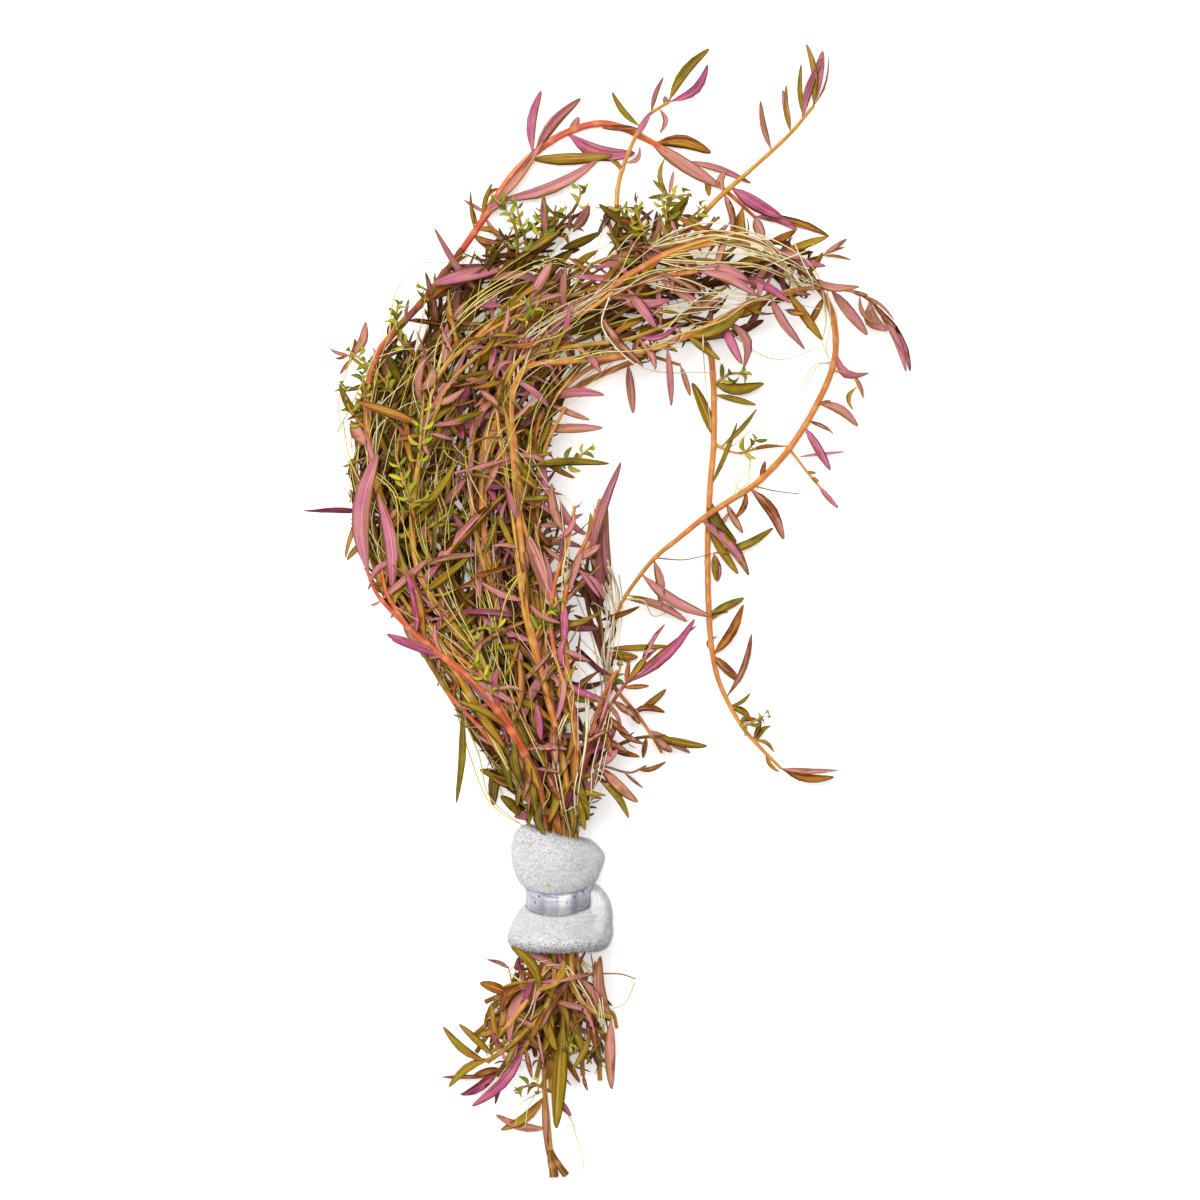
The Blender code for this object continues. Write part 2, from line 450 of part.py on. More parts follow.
class Stem:
    """One stem's centre line, its thickness and the places where it bears leaves."""

    def __init__(self, name, spec):
        self.name = name
        self.spec = spec
        self.line = smooth_line(route_points(spec))
        self.lengths = line_lengths(self.line)
        self.total = self.lengths[-1]
        self.leaves = []
        self.place_nodes()
        self.tube = tube_tree(self)

    def index_at(self, length):
        low, high = 0, len(self.lengths) - 1
        while low < high:
            middle = (low + high) // 2
            if self.lengths[middle] < length:
                low = middle + 1
            else:
                high = middle
        return low

    def point(self, length):
        return self.line[self.index_at(length)]

    def direction(self, length):
        i = self.index_at(length)
        near, far = self.line[max(i - 3, 0)], self.line[min(i + 3, len(self.line) - 1)]
        return (far - near).normalized()

    def radius(self, length):
        y = self.point(length).y
        thick = self.spec["radius"]
        if abs(y) < PAD_END + 2:
            return BORE_STEM_RADIUS
        if y < 0:
            return BORE_STEM_RADIUS
        near_foam = min((y - PAD_END - 2) / 8, 1)
        near_tip = min((self.total - length) / 40, 1)
        wide = BORE_STEM_RADIUS + (thick - BORE_STEM_RADIUS) * near_foam
        return TIP_STEM_RADIUS + (wide - TIP_STEM_RADIUS) * near_tip

    def in_foam(self, length):
        return abs(self.point(length).y) < PAD_END + 3

    def bears_leaf(self, node):
        return any(leaf.node == node for leaf in self.leaves)

    def place_nodes(self):
        """Leaf-bearing places: where the listed leaves spring, then evenly between them."""
        places = []
        self.listed = []
        for base, tip, width in self.spec["leaves"]:
            spring = Vector((base[0], base[1], 0))
            flat = [(Vector((p.x, p.y, 0)) - spring).length for p in self.line]
            length = self.lengths[flat.index(min(flat))]
            length = min(max(length, 2.5), self.total - 1.2)
            for known in places:
                if abs(known - length) < NODE_LENGTH * 1.6:
                    length = known
            if length not in places:
                places.append(length)
            self.listed.append((length, Vector(tip), width))
        count = int(self.total / NODE_SPACING)
        for i in range(count):
            length = (i + 0.6) * self.total / count
            if self.in_foam(length) or length > self.total - 3:
                continue
            if all(abs(length - known) > CLOSEST_NODES for known in places):
                places.append(length)
        self.nodes = sorted(places)

    def stations(self):
        """Lengths of the rings: two at each leafy node, some between, one at each end."""
        rings = [0.0, self.total]
        for node in self.nodes:
            if self.bears_leaf(node):
                rings += [node - NODE_LENGTH / 2, node + NODE_LENGTH / 2]
            else:
                rings.append(node)
        for y in (-PAD_END - 2, PAD_END + 2):
            rings.append(next(s for s, p in zip(self.lengths, self.line) if p.y >= y))
        rings = sorted(rings)
        filled = [rings[0]]
        for ring in rings[1:]:
            span = ring - filled[-1]
            through_foam = self.in_foam((ring + filled[-1]) / 2)
            extra = 0 if through_foam else int(span / RING_SPACING)
            start = filled[-1]
            filled += [start + span * (k + 1) / (extra + 1) for k in range(extra)]
            filled.append(ring)
        return [s for i, s in enumerate(filled) if i == 0 or s - filled[i - 1] > 0.4]


def ring_points(stem, length):
    """The corners of the stem's section at this length, one of them pointing up."""
    centre = stem.point(length)
    along = stem.direction(length)
    side = Vector((0, 0, 1)).cross(along).normalized()
    up = along.cross(side).normalized()
    corners = []
    for k in range(STEM_SIDES):
        turn = math.tau * (k + 0.5) / STEM_SIDES
        offset = side * math.cos(turn) + up * math.sin(turn)
        corners.append(centre + offset * stem.radius(length))
    return corners


def tube_tree(stem):
    corners = []
    faces = []
    for i, length in enumerate(stem.stations()):
        corners += ring_points(stem, length)
        if i:
            first = (i - 1) * STEM_SIDES
            for k in range(STEM_SIDES):
                j = (k + 1) % STEM_SIDES
                faces.append((first + k, first + j, first + STEM_SIDES + j, first + STEM_SIDES + k))
    return BVHTree.FromPolygons(corners, faces)


class Leaf:
    """A flat lance-shaped leaf from a stem node to its tip."""

    def __init__(self, stem, node, tip, width):
        self.stem = stem
        self.node = node
        self.tip = tip
        self.width = width
        centre = stem.point(node)
        way = tip - centre
        self.way = way.normalized()
        self.root = centre + self.way * stem.radius(node)
        is_large = (tip - self.root).length > LARGE_LEAF
        self.sections = LARGE_LEAF_SECTIONS if is_large else SMALL_LEAF_SECTIONS
        self.side = Vector((0, 0, 1)).cross(self.way).normalized()
        self.up = self.way.cross(self.side).normalized()

    def section(self, share, count=4, swell=0.0):
        """The corners across the leaf at a share of its length."""
        centre = self.root.lerp(self.tip, share)
        half = self.width * math.sin(math.pi * share ** 0.75) ** 0.8 / 2 + 0.12 + swell
        thick = LEAF_THICKNESS * (1 - 0.5 * share) / 2 + swell
        corners = []
        for k in range(count):
            turn = math.tau * (k + 0.5) / count
            across = half * math.cos(turn) / math.cos(math.pi / count)
            over = thick * math.sin(turn) / math.sin(math.pi / count)
            corners.append(centre + self.side * across + self.up * over)
        return corners

    def guard_tree(self):
        """A slightly swollen box round the blade, to test against its neighbours."""
        corners = []
        for share in (0.14, 0.45, 1.04):
            corners += self.section(min(share, 0.97), 4, GAP)
        for corner in corners[8:]:
            corner += self.way * 0.6
        faces = [(0, 1, 2, 3), (8, 9, 10, 11)]
        for first in (0, 4):
            for k in range(4):
                j = (k + 1) % 4
                faces.append((first + k, first + j, first + 4 + j, first + 4 + k))
        low = Vector([min(c[i] for c in corners) for i in range(3)])
        high = Vector([max(c[i] for c in corners) for i in range(3)])
        return BVHTree.FromPolygons(corners, faces), low, high


class Neighbours:
    """Everything that a new leaf has to stay clear of."""

    def __init__(self, stems, solids):
        self.trees = [(stem.tube, None, None) for stem in stems]
        for solid in solids:
            rest = Vector((0, REST_Y, 0))
            points = [vert.co / METRES_PER_MM + rest for vert in solid.data.vertices]
            faces = [tuple(face.vertices) for face in solid.data.polygons]
            self.trees.append((BVHTree.FromPolygons(points, faces), None, None))

    def has_room(self, leaf):
        tree, low, high = leaf.guard_tree()
        if low.z < FLOOR_CLEARANCE - GAP:
            return False
        for other, other_low, other_high in self.trees:
            if other_low is not None:
                apart = any(low[i] > other_high[i] or other_low[i] > high[i] for i in range(3))
                if apart:
                    continue
            if tree.overlap(other):
                return False
        self.trees.append((tree, low, high))
        return True


def listed_leaves(stem, neighbours):
    """The leaves chosen by hand, each nudged a little until it is clear."""
    for node, tip, width in stem.listed:
        for nudge in (0, 0.8, -0.8, 1.8, -1.8, 3, -3):
            leaf = Leaf(stem, node, tip + Vector((0, 0, nudge)), width)
            if neighbours.has_room(leaf):
                stem.leaves.append(leaf)
                break


def paired_leaves(stem, neighbours, dice):
    """Opposite pairs at the nodes that carry no listed leaf on that side."""
    for node in stem.nodes:
        along = stem.direction(node)
        if stem.point(node).y < 0:
            along = along * -0.5 + Vector((0, -0.5, 0))
        across = along.cross(Vector((0, 0, 1))).normalized()
        for side in (-1, 1):
            taken = any(
                leaf.node == node and (leaf.way.dot(across) > 0) == (side > 0)
                for leaf in stem.leaves
            )
            if taken:
                continue
            for attempt in range(6):
                spread = math.radians(dice.uniform(35, 75))
                rise = dice.uniform(-0.25, 0.3)
                reach = dice.uniform(9, 15) * (1 - 0.09 * attempt)
                way = along * math.cos(spread) + across * side * math.sin(spread)
                way = (way + Vector((0, 0, rise))).normalized()
                tip = stem.point(node) + way * reach
                leaf = Leaf(stem, node, tip, dice.uniform(2.1, 2.9))
                if neighbours.has_room(leaf):
                    stem.leaves.append(leaf)
                    break


def matched(corners, face):
    """The corners, turned so that each one is nearest the face's own corner."""
    places = [vert.co for vert in face.verts]
    count = len(places)

    def travel(turn):
        return sum((corners[(i + turn) % count] - places[i]).length for i in range(count))

    turn = min(range(count), key=travel)
    return [corners[(i + turn) % count] for i in range(count)]


def extend(shape, face, corners):
    """Extrudes the face and moves its corners to the new places."""
    face = bmesh.ops.extrude_discrete_faces(shape, faces=[face])["faces"][0]
    for vert, corner in zip(face.verts, matched(corners, face)):
        vert.co = corner
    face.normal_update()
    return face


def side_faces(face):
    """The faces just drawn behind an extruded face."""
    sides = [f for edge in face.edges for f in edge.link_faces if f is not face]
    for side in sides:
        side.normal_update()
    return sides


def grow_leaf(shape, faces, leaf):
    """Draws a leaf out of the face of its stem that looks its way."""
    face = max(faces, key=lambda f: f.normal.dot(leaf.way))
    faces.remove(face)
    for share in leaf.sections:
        face = extend(shape, face, leaf.section(share, len(face.verts)))
    bmesh.ops.pointmerge(shape, verts=list(face.verts), merge_co=leaf.tip)


def make_stem(stem, collection):
    """Extrudes the stem ring by ring from its cut end, then grows its leaves."""
    shape = bmesh.new()
    stations = stem.stations()
    end = shape.faces.new([shape.verts.new(c) for c in ring_points(stem, stations[0])])
    face = end.copy(verts=True, edges=True)
    sides_at = {}
    for length in stations[1:]:
        face = extend(shape, face, ring_points(stem, length))
        sides_at[length] = side_faces(face)
    for node in stem.nodes:
        upper_ring = min(sides_at, key=lambda s: abs(s - node - NODE_LENGTH / 2))
        faces = sides_at[upper_ring]
        if upper_ring == stations[-1]:
            faces.append(face)
        for leaf in stem.leaves:
            if leaf.node == node:
                grow_leaf(shape, faces, leaf)
    bmesh.ops.remove_doubles(shape, verts=shape.verts, dist=0.0001)
    colour = COLOURS[stem.spec["colour"]]
    return add_object(stem.name, shape, make_material(stem.name, colour, 0.5), collection)


def main():
    clear_scene()
    collection = bpy.data.collections.new("rotala_bunch")
    bpy.context.scene.collection.children.link(collection)
    pad = make_foam_pad(collection)
    strip = make_metal_strip(collection)
    stems = [Stem(name, spec) for name, spec in STEMS.items()]
    neighbours = Neighbours(stems, [pad, strip])
    for stem in stems:
        listed_leaves(stem, neighbours)
    dice = random.Random(LEAF_SEED)
    for stem in stems:
        paired_leaves(stem, neighbours, dice)
    for stem in stems:
        make_stem(stem, collection)


main()
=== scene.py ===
import bisect
import json
import math
import random

import bmesh
import bpy
from mathutils import Matrix, Vector

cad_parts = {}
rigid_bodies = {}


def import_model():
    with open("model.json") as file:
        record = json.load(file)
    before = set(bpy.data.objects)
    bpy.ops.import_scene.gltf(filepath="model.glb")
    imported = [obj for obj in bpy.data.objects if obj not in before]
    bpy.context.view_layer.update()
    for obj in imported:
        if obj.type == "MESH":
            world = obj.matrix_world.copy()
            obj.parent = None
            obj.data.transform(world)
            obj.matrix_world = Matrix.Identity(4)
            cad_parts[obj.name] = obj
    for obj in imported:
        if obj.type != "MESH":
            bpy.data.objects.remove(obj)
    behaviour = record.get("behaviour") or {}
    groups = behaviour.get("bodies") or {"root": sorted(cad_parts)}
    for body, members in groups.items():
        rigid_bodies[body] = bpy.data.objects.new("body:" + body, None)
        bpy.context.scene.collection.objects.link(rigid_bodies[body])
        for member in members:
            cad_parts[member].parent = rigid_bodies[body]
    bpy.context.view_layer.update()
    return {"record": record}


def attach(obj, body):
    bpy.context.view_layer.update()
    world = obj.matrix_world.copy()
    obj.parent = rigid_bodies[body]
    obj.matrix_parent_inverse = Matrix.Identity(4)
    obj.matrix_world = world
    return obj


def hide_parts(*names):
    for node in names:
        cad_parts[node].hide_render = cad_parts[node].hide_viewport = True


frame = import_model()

# The table
# A plain white matt board on which the bunch lies flat. It fills the whole view and fades to
# clean white, with only a faint shade where leaves touch it.


class Wire:
    """One node's output, so that sums on what it carries are written as plain arithmetic."""

    def __init__(self, nodes, socket):
        self.nodes = nodes
        self.socket = socket

    def other(self, name):
        """Another output of the same node."""
        return Wire(self.nodes, self.socket.node.outputs[name])

    def sum(self, operation, *values):
        return self.nodes.add("ShaderNodeMath", {"operation": operation}, dict(enumerate(values)))

    def __add__(self, other):
        return self.sum("ADD", self, other)

    def __sub__(self, other):
        return self.sum("SUBTRACT", self, other)

    def __rsub__(self, other):
        return self.sum("SUBTRACT", other, self)

    def __mul__(self, other):
        return self.sum("MULTIPLY", self, other)

    def __gt__(self, other):
        return self.sum("GREATER_THAN", self, other)

    def __abs__(self):
        return self.sum("ABSOLUTE", self)

    __radd__ = __add__
    __rmul__ = __mul__

    def most(self, other):
        """The larger of the two."""
        return self.sum("MAXIMUM", self, other)

    def above(self, low, high):
        """0 below low, 1 above high, and smooth between."""
        settings = {"interpolation_type": "SMOOTHSTEP"}
        sockets = {"Value": self, "From Min": low, "From Max": high}
        return self.nodes.add("ShaderNodeMapRange", settings, sockets)


class Nodes:
    """A node tree, with the one method that adds a node to it and short forms for common nodes."""

    def __init__(self, tree):
        self.tree = tree

    def add(self, kind, settings=None, sockets=None, out=0):
        """Adds a node, sets it up, joins its sockets and gives back one of its outputs."""
        node = self.tree.nodes.new(kind)
        for key, value in (settings or {}).items():
            if key == "stops":
                ramp = node.color_ramp.elements
                while len(ramp) < len(value):
                    ramp.new(0.5)
                for stop, (place, colour) in zip(ramp, value):
                    stop.position = place
                    stop.color = (*colour, 1.0)
            else:
                setattr(node, key, value)
        for key, value in (sockets or {}).items():
            self.join(value, node.inputs[key])
        return Wire(self, node.outputs[out])

    def join(self, value, socket):
        """Sets a socket to a value, or links it to a wire or to each wire of a list."""
        if isinstance(value, Wire):
            self.tree.links.new(value.socket, socket)
        elif isinstance(value, list):
            for wire in value:
                self.join(wire, socket)
        else:
            socket.default_value = value

    def blend(self, share, first, second):
        """A colour between two colours."""
        def four(colour):
            return colour if isinstance(colour, Wire) else (*colour, 1.0)
        settings = {"data_type": "RGBA"}
        return self.add("ShaderNodeMix", settings, {0: share, 6: four(first), 7: four(second)}, 2)

    def ramp(self, share, stops):
        """The colour at a share of the way along a row of colours."""
        return self.add("ShaderNodeValToRGB", {"stops": stops}, {0: share})

    def noise(self, vector, scale, detail=3.0, roughness=0.5):
        sockets = {"Vector": vector, "Scale": scale, "Detail": detail, "Roughness": roughness}
        return self.add("ShaderNodeTexNoise", None, sockets)

    def vector(self, x, y, z):
        return self.add("ShaderNodeCombineXYZ", None, {0: x, 1: y, 2: z})

    def parts(self, vector):
        """The x, y and z of a vector."""
        node = self.add("ShaderNodeSeparateXYZ", None, {0: vector}).socket.node
        return [Wire(self, socket) for socket in node.outputs]


class Finish(Nodes):
    """A material and its shader."""

    def __init__(self, name, roughness=0.5, metallic=0.0):
        self.material = bpy.data.materials.new(name)
        self.material.use_nodes = True
        super().__init__(self.material.node_tree)
        self.skin = self.tree.nodes["Principled BSDF"]
        self.skin.inputs["Roughness"].default_value = roughness
        self.skin.inputs["Metallic"].default_value = metallic

    def give(self, socket, value):
        self.join(value, self.skin.inputs[socket])

    def bump(self, height, strength, distance):
        sockets = {"Height": height, "Strength": strength, "Distance": distance}
        self.give("Normal", self.add("ShaderNodeBump", None, sockets))

    def place(self):
        """Metres on the piece itself."""
        return self.add("ShaderNodeTexCoord", out="Object")

    def carried(self, name, out="Fac"):
        """A value that the piece's mesh carries under a name."""
        return self.add("ShaderNodeAttribute", {"attribute_name": name}, None, out)


def new_piece(name, mesh):
    made = bpy.data.objects.new(name, mesh)
    bpy.context.scene.collection.objects.link(made)
    return made


def as_mesh(name, shape):
    """Turns a finished shape into a plain mesh."""
    mesh = bpy.data.meshes.new(name)
    shape.to_mesh(mesh)
    shape.free()
    return mesh


board_size = 3.0
board_shape = bmesh.new()
bmesh.ops.create_grid(board_shape, x_segments=2, y_segments=2, size=board_size / 2)
board_mesh = as_mesh("table_board", board_shape)
board = new_piece("table_board", board_mesh)
board_finish = Finish("white_board", roughness=0.85)
board_grain = board_finish.noise(board_finish.place(), 60.0)
board_finish.give("Base Color", board_finish.blend(board_grain, (0.93, 0.93, 0.93), (0.96, 0.96, 0.96)))
board_finish.give("Emission Color", (1.0, 1.0, 1.0, 1.0))
board_finish.give("Emission Strength", 0.38)
board_mesh.materials.append(board_finish.material)

# Soft light and the camera
# Broad white light comes from above and all round, as in a light tent. The camera looks
# straight down through a long lens.
view_centre = (0.0094, 0.0581)
view_width = 0.276
camera_height = 0.92
sharp_height = 0.003
sensor_width = 36.0
camera_data = bpy.data.cameras.new("camera")
camera_data.sensor_width = sensor_width
camera_data.lens = sensor_width * (camera_height - sharp_height) / view_width
camera = bpy.data.objects.new("camera", camera_data)
camera.location = (*view_centre, camera_height)
bpy.context.scene.collection.objects.link(camera)
bpy.context.scene.camera = camera


def soft_light(name, place, size, power):
    """A square lamp that looks at the middle of the bunch."""
    lamp = bpy.data.lights.new(name, "AREA")
    lamp.size = size
    lamp.energy = power
    made = bpy.data.objects.new(name, lamp)
    made.location = place
    aim = Vector((*view_centre, 0)) - Vector(place)
    made.rotation_euler = aim.to_track_quat("-Z", "Y").to_euler()
    bpy.context.scene.collection.objects.link(made)


soft_light("top_light", (-0.12, 0.4, 1.1), 0.8, 12.6)
soft_light("left_light", (-0.9, 0.3, 0.7), 0.5, 4.6)
world = bpy.data.worlds.new("light_tent")
world.use_nodes = True
world.node_tree.nodes["Background"].inputs["Color"].default_value = (1.0, 1.0, 1.0, 1.0)
world.node_tree.nodes["Background"].inputs["Strength"].default_value = 0.3
bpy.context.scene.world = world
bpy.context.scene.view_settings.view_transform = "Standard"

# The foam pad
# A strip of soft white open-cell sponge, wrapped once round the stems. The tie pinches it
# into two lobes, and its free end stands past the tie on the right.
rest_y = 8.6
mm = 0.001
bunch_height = 9.0
waist_radius = 6.6
waist_y = -2.4
strip_width = 5.8
lobe_from_radius = 8
lobe_growth = 2.6
lobe_flattening = 0.08


def held(value, low=0, high=1):
    """The value, kept between two limits."""
    return min(max(value, low), high)


def squared(angle, share):
    """How much further out than a circle a squared-off ring reaches at this angle."""
    reach = (abs(math.cos(angle)) ** 3 + abs(math.sin(angle)) ** 3) ** (-1 / 3)
    return 1 + share * (reach - 1)


def waist_lean(x, height):
    """How far the tie bends from straight across: up towards its ends, and down at its top."""
    return 1.25 + 0.05 * x + 0.03 * min(abs(x), 7) ** 2 - 0.14 * (height - bunch_height)


def to_frame(points):
    """Moves points from millimetres about the pad's middle into the frame."""
    return [Vector((p[0], p[1] - rest_y, p[2])) * mm for p in points]


def sponge_shape():
    """The pad as a ring of sections, from its bore over both lobes, in millimetres.

    Each point of a section is a radius and a place along the pad, then the same for the side
    where the free end stands past the tie.
    """
    profile = [
        (5.5, -12.6), (5.4, -8), (5.4, 0), (5.4, 8), (5.5, 13.9), (6.1, 14.8), (7.4, 14.8),
        (9.0, 13.5), (9.9, 11.4), (10.2, 8.6), (9.9, 6.0), (9.2, 3.2), (8.4, 1.3),
        (7.8, 0.4), (7.6, 0.0), (7.0, 0.2), (6.55, -0.9), (6.55, -4.0), (6.9, -5.0),
        ((8.0, -5.4), (7.3, -5.0)), ((8.6, -5.9), (7.3, -3.6)), ((9.2, -6.5), (7.3, -2.8)),
        ((9.9, -7.3), (7.6, -2.2)), ((10.6, -8.2), (8.5, -2.5)), ((11.2, -9.2), (10.0, -3.5)),
        ((11.5, -10.2), (11.1, -5.1)), ((11.5, -11.2), (11.4, -8.2)), ((10.9, -11.9), (11.1, -11.2)),
        (9.9, -12.5), (8.2, -12.8), (6.2, -12.7),
    ]
    steps = 64
    shape = bmesh.new()
    rings = []
    for step in range(steps):
        angle = math.tau * step / steps
        turned = (angle + math.pi) % math.tau - math.pi
        loose = held(min((0.72 - turned) / 0.34, (turned + 1.2) / 0.5))
        ring = []
        for point in profile:
            if isinstance(point[0], tuple):
                radius, y = (a + (b - a) * loose for a, b in zip(*point))
            else:
                radius, y = point
                y += 0.1 * radius * max(math.cos(angle), 0) * max(1 - abs(y - 4) / 7, 0)
            swell = held((radius - lobe_from_radius) / lobe_growth)
            reach = radius * squared(angle, 1 - swell)
            x = reach * math.cos(angle) + (0.3 if y < 0 else -0.25) * swell
            height = bunch_height + reach * math.sin(angle) * (1 - lobe_flattening * swell)
            y -= (1.9 + 0.25 * x) * held((y - 8) / 6)
            y += waist_lean(x, height) * max(1 - abs(y - waist_y) / 9, 0)
            ring.append(shape.verts.new((x, y, max(height, 0.0))))
        rings.append(ring)
    count = len(profile)
    for near, far in zip(rings, rings[1:] + rings[:1]):
        for i in range(count):
            j = (i + 1) % count
            shape.faces.new((near[i], near[j], far[j], far[i]))
    bmesh.ops.recalc_face_normals(shape, faces=shape.faces)
    return shape


class Growth(Nodes):
    """A Geometry Nodes tree with named sizes, and the plain mesh that it makes."""

    def __init__(self, name):
        super().__init__(bpy.data.node_groups.new(name, "GeometryNodeTree"))
        self.keys = {}
        self.tree.interface.new_socket("Shape", in_out="INPUT", socket_type="NodeSocketGeometry")
        self.tree.interface.new_socket("Shape", in_out="OUTPUT", socket_type="NodeSocketGeometry")
        self.inlet = self.tree.nodes.new("NodeGroupInput")
        self.outlet = self.tree.nodes.new("NodeGroupOutput")
        self.start = Wire(self, self.inlet.outputs[0])
        self.lowest = self.size("Lowest")

    def size(self, name, kind="NodeSocketFloat"):
        """A named input of the tree."""
        self.keys[name] = self.tree.interface.new_socket(name, in_out="INPUT", socket_type=kind).identifier
        return Wire(self, self.inlet.outputs[name])

    def named(self, name, kind="FLOAT"):
        """A named value that the source mesh carries."""
        return self.add("GeometryNodeInputNamedAttribute", {"data_type": kind}, {"Name": name})

    def end(self, shape, material):
        """Closes the tree: separate real faces that stop at the board, smooth and coated."""
        real = self.add("GeometryNodeRealizeInstances", None, {0: shape})
        spot = self.add("GeometryNodeInputPosition")
        x, y, z = self.parts(spot)
        laid = self.vector(x, y, z.most(self.lowest + z * 0.02))
        real = self.add("GeometryNodeSetPosition", None, {0: real, "Position": laid})
        smooth = self.add("GeometryNodeSetShadeSmooth", None, {0: real})
        coated = self.add("GeometryNodeSetMaterial", None, {0: smooth, "Material": material})
        self.join(coated, self.outlet.inputs[0])

    def grow(self, name, mesh, sizes):
        """A finished piece that the tree makes from a plain mesh."""
        source = new_piece(name, mesh)
        modifier = source.modifiers.new(name, "NODES")
        modifier.node_group = self.tree
        for key, value in sizes.items():
            modifier[self.keys[key]] = value
        depsgraph = bpy.context.evaluated_depsgraph_get()
        made = bpy.data.meshes.new_from_object(
            source.evaluated_get(depsgraph), preserve_all_data_layers=True, depsgraph=depsgraph)
        source.modifiers.clear()
        source.data = made
        return source


sponge = Finish("white_sponge", roughness=0.95)
sponge.give("Specular IOR Level", 0.1)
sponge_place = sponge.place()
sponge_x, sponge_y, sponge_z = sponge.parts(sponge_place)
cut_edge = abs(sponge_y + rest_y * mm).above(0.0082, 0.0130) * (1 - sponge_y.above(-0.009, -0.008) * 0.5)
pores = sponge.add("ShaderNodeTexVoronoi", {"feature": "F1"}, {"Vector": sponge_place, "Scale": 1700.0})
pore_patch = sponge.noise(sponge_place, 700.0, 2.0)
pore_mask = (1 - pores.above(0.24, 0.48)) * (pore_patch + cut_edge * 0.14).above(0.42, 0.54)
soft_shade = sponge.noise(sponge_place, 900.0, 4.0, 0.7)
plain = sponge.blend(soft_shade.above(0.3, 0.7), (0.67, 0.67, 0.68), (0.70, 0.70, 0.70))
# Painted light: the lower sides, the end face and the right side get a paler base colour, to cancel the
# shade that falls on them away from the top and left lamps.
low_side = 1 - sponge_z.above(0.0112, 0.0176)
end_side = 1 - sponge_y.above(-0.0206, -0.0172)
right_side = sponge_x.above(0.0045, 0.0095)
side = low_side.most(end_side.most(right_side))
plain = sponge.blend(side * 0.95, plain, (0.88, 0.88, 0.89))
low_lobe = 1 - sponge_y.above(-0.0125, -0.0095)
plain = sponge.blend(low_lobe * 0.25, plain, (0.58, 0.58, 0.59))
speckled = sponge.blend(pore_mask * (0.06 + cut_edge * 0.94), plain, (0.12, 0.07, 0.05))
orange_dot = sponge.add(
    "ShaderNodeVectorMath", {"operation": "DISTANCE"},
    {0: sponge.vector(sponge_x, sponge_y, 0.0), 1: (-0.0023, -0.0065, 0.0)}, 1)
dot_share = (1 - orange_dot.above(0.0003, 0.0005)) * sponge_z.above(0.012, 0.013)
sponge.give("Base Color", sponge.blend(dot_share, speckled, (0.78, 0.46, 0.12)))
sponge.bump(pores, 0.12, 0.0001)

# The pad's own surface is lumpy and open, and a fuzz of torn cell walls stands on it. The tree
# pushes the surface in and out along its normals, then sets the fuzz on it.
sponge_growth = Growth("sponge_surface")
lump_height = sponge_growth.size("Lump height")
pore_depth = sponge_growth.size("Pore depth")
fuzz_density = sponge_growth.size("Fuzz per square metre")
fuzz_length = sponge_growth.size("Fuzz length")
spot = sponge_growth.add("GeometryNodeInputPosition")
lumps = sponge_growth.noise(spot, 260.0, 2.0)
grain = sponge_growth.noise(spot, 1500.0, 2.0, 0.6)
push = (lumps - 0.5) * lump_height + (grain - 0.5) * pore_depth
outwards = sponge_growth.add(
    "ShaderNodeVectorMath", {"operation": "SCALE"},
    {0: sponge_growth.add("GeometryNodeInputNormal"), "Scale": push})
pushed = sponge_growth.add("GeometryNodeSetPosition", None, {0: sponge_growth.start, "Offset": outwards})
fuzz_points = sponge_growth.add(
    "GeometryNodeDistributePointsOnFaces", {"distribute_method": "RANDOM"},
    {0: pushed, "Density": fuzz_density, "Seed": 4})
fuzz_lean = sponge_growth.add(
    "FunctionNodeRandomValue", {"data_type": "FLOAT_VECTOR"},
    {0: (-0.7, -0.7, 0.0), 1: (0.7, 0.7, 6.3), "Seed": 9})
fuzz_slant = sponge_growth.add("FunctionNodeEulerToRotation", None, {0: fuzz_lean})
fuzz_turned = sponge_growth.add(
    "FunctionNodeRotateRotation", {"rotation_space": "LOCAL"},
    {0: fuzz_points.other("Rotation"), 1: fuzz_slant})
fuzz_reach = sponge_growth.add(
    "FunctionNodeRandomValue", {"data_type": "FLOAT"}, {2: 0.4, 3: 1.0, "Seed": 7}, 1)
fuzz_spike = sponge_growth.add(
    "GeometryNodeMeshCone", {"fill_type": "NONE"},
    {"Vertices": 3, "Radius Top": 0.0, "Radius Bottom": fuzz_length * 0.07, "Depth": fuzz_length})
fuzz = sponge_growth.add(
    "GeometryNodeInstanceOnPoints", None,
    {"Points": fuzz_points, "Instance": fuzz_spike, "Rotation": fuzz_turned, "Scale": fuzz_reach})
furred = sponge_growth.add("GeometryNodeJoinGeometry", None, {0: [pushed, fuzz]})
sponge_growth.end(furred, sponge.material)

pad_shape = sponge_shape()
for vert in pad_shape.verts:
    vert.co = to_frame([vert.co])[0]
bmesh.ops.subdivide_edges(pad_shape, edges=pad_shape.edges, cuts=1, use_grid_fill=True, smooth=1.0)
pad = sponge_growth.grow("foam_sponge", as_mesh("foam_sponge", pad_shape), {
    "Lowest": 0.0, "Lump height": 0.0003, "Pore depth": 0.00008,
    "Fuzz per square metre": 1.9e7, "Fuzz length": 0.001})
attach(pad, "root")
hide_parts("foam_pad")

# The metal strip
# A flat band of soft grey metal, bent by hand round the waist of the sponge until its ends
# overlap underneath. It is brushed along its length, with pits and dark scratches.
strip_thickness = 0.6
strip_overlap = math.radians(34)
strip_clearance = 0.3
strip_bevel = 0.14
end_lift = 0.9
end_lift_from = 0.8
end_lift_share = 0.12


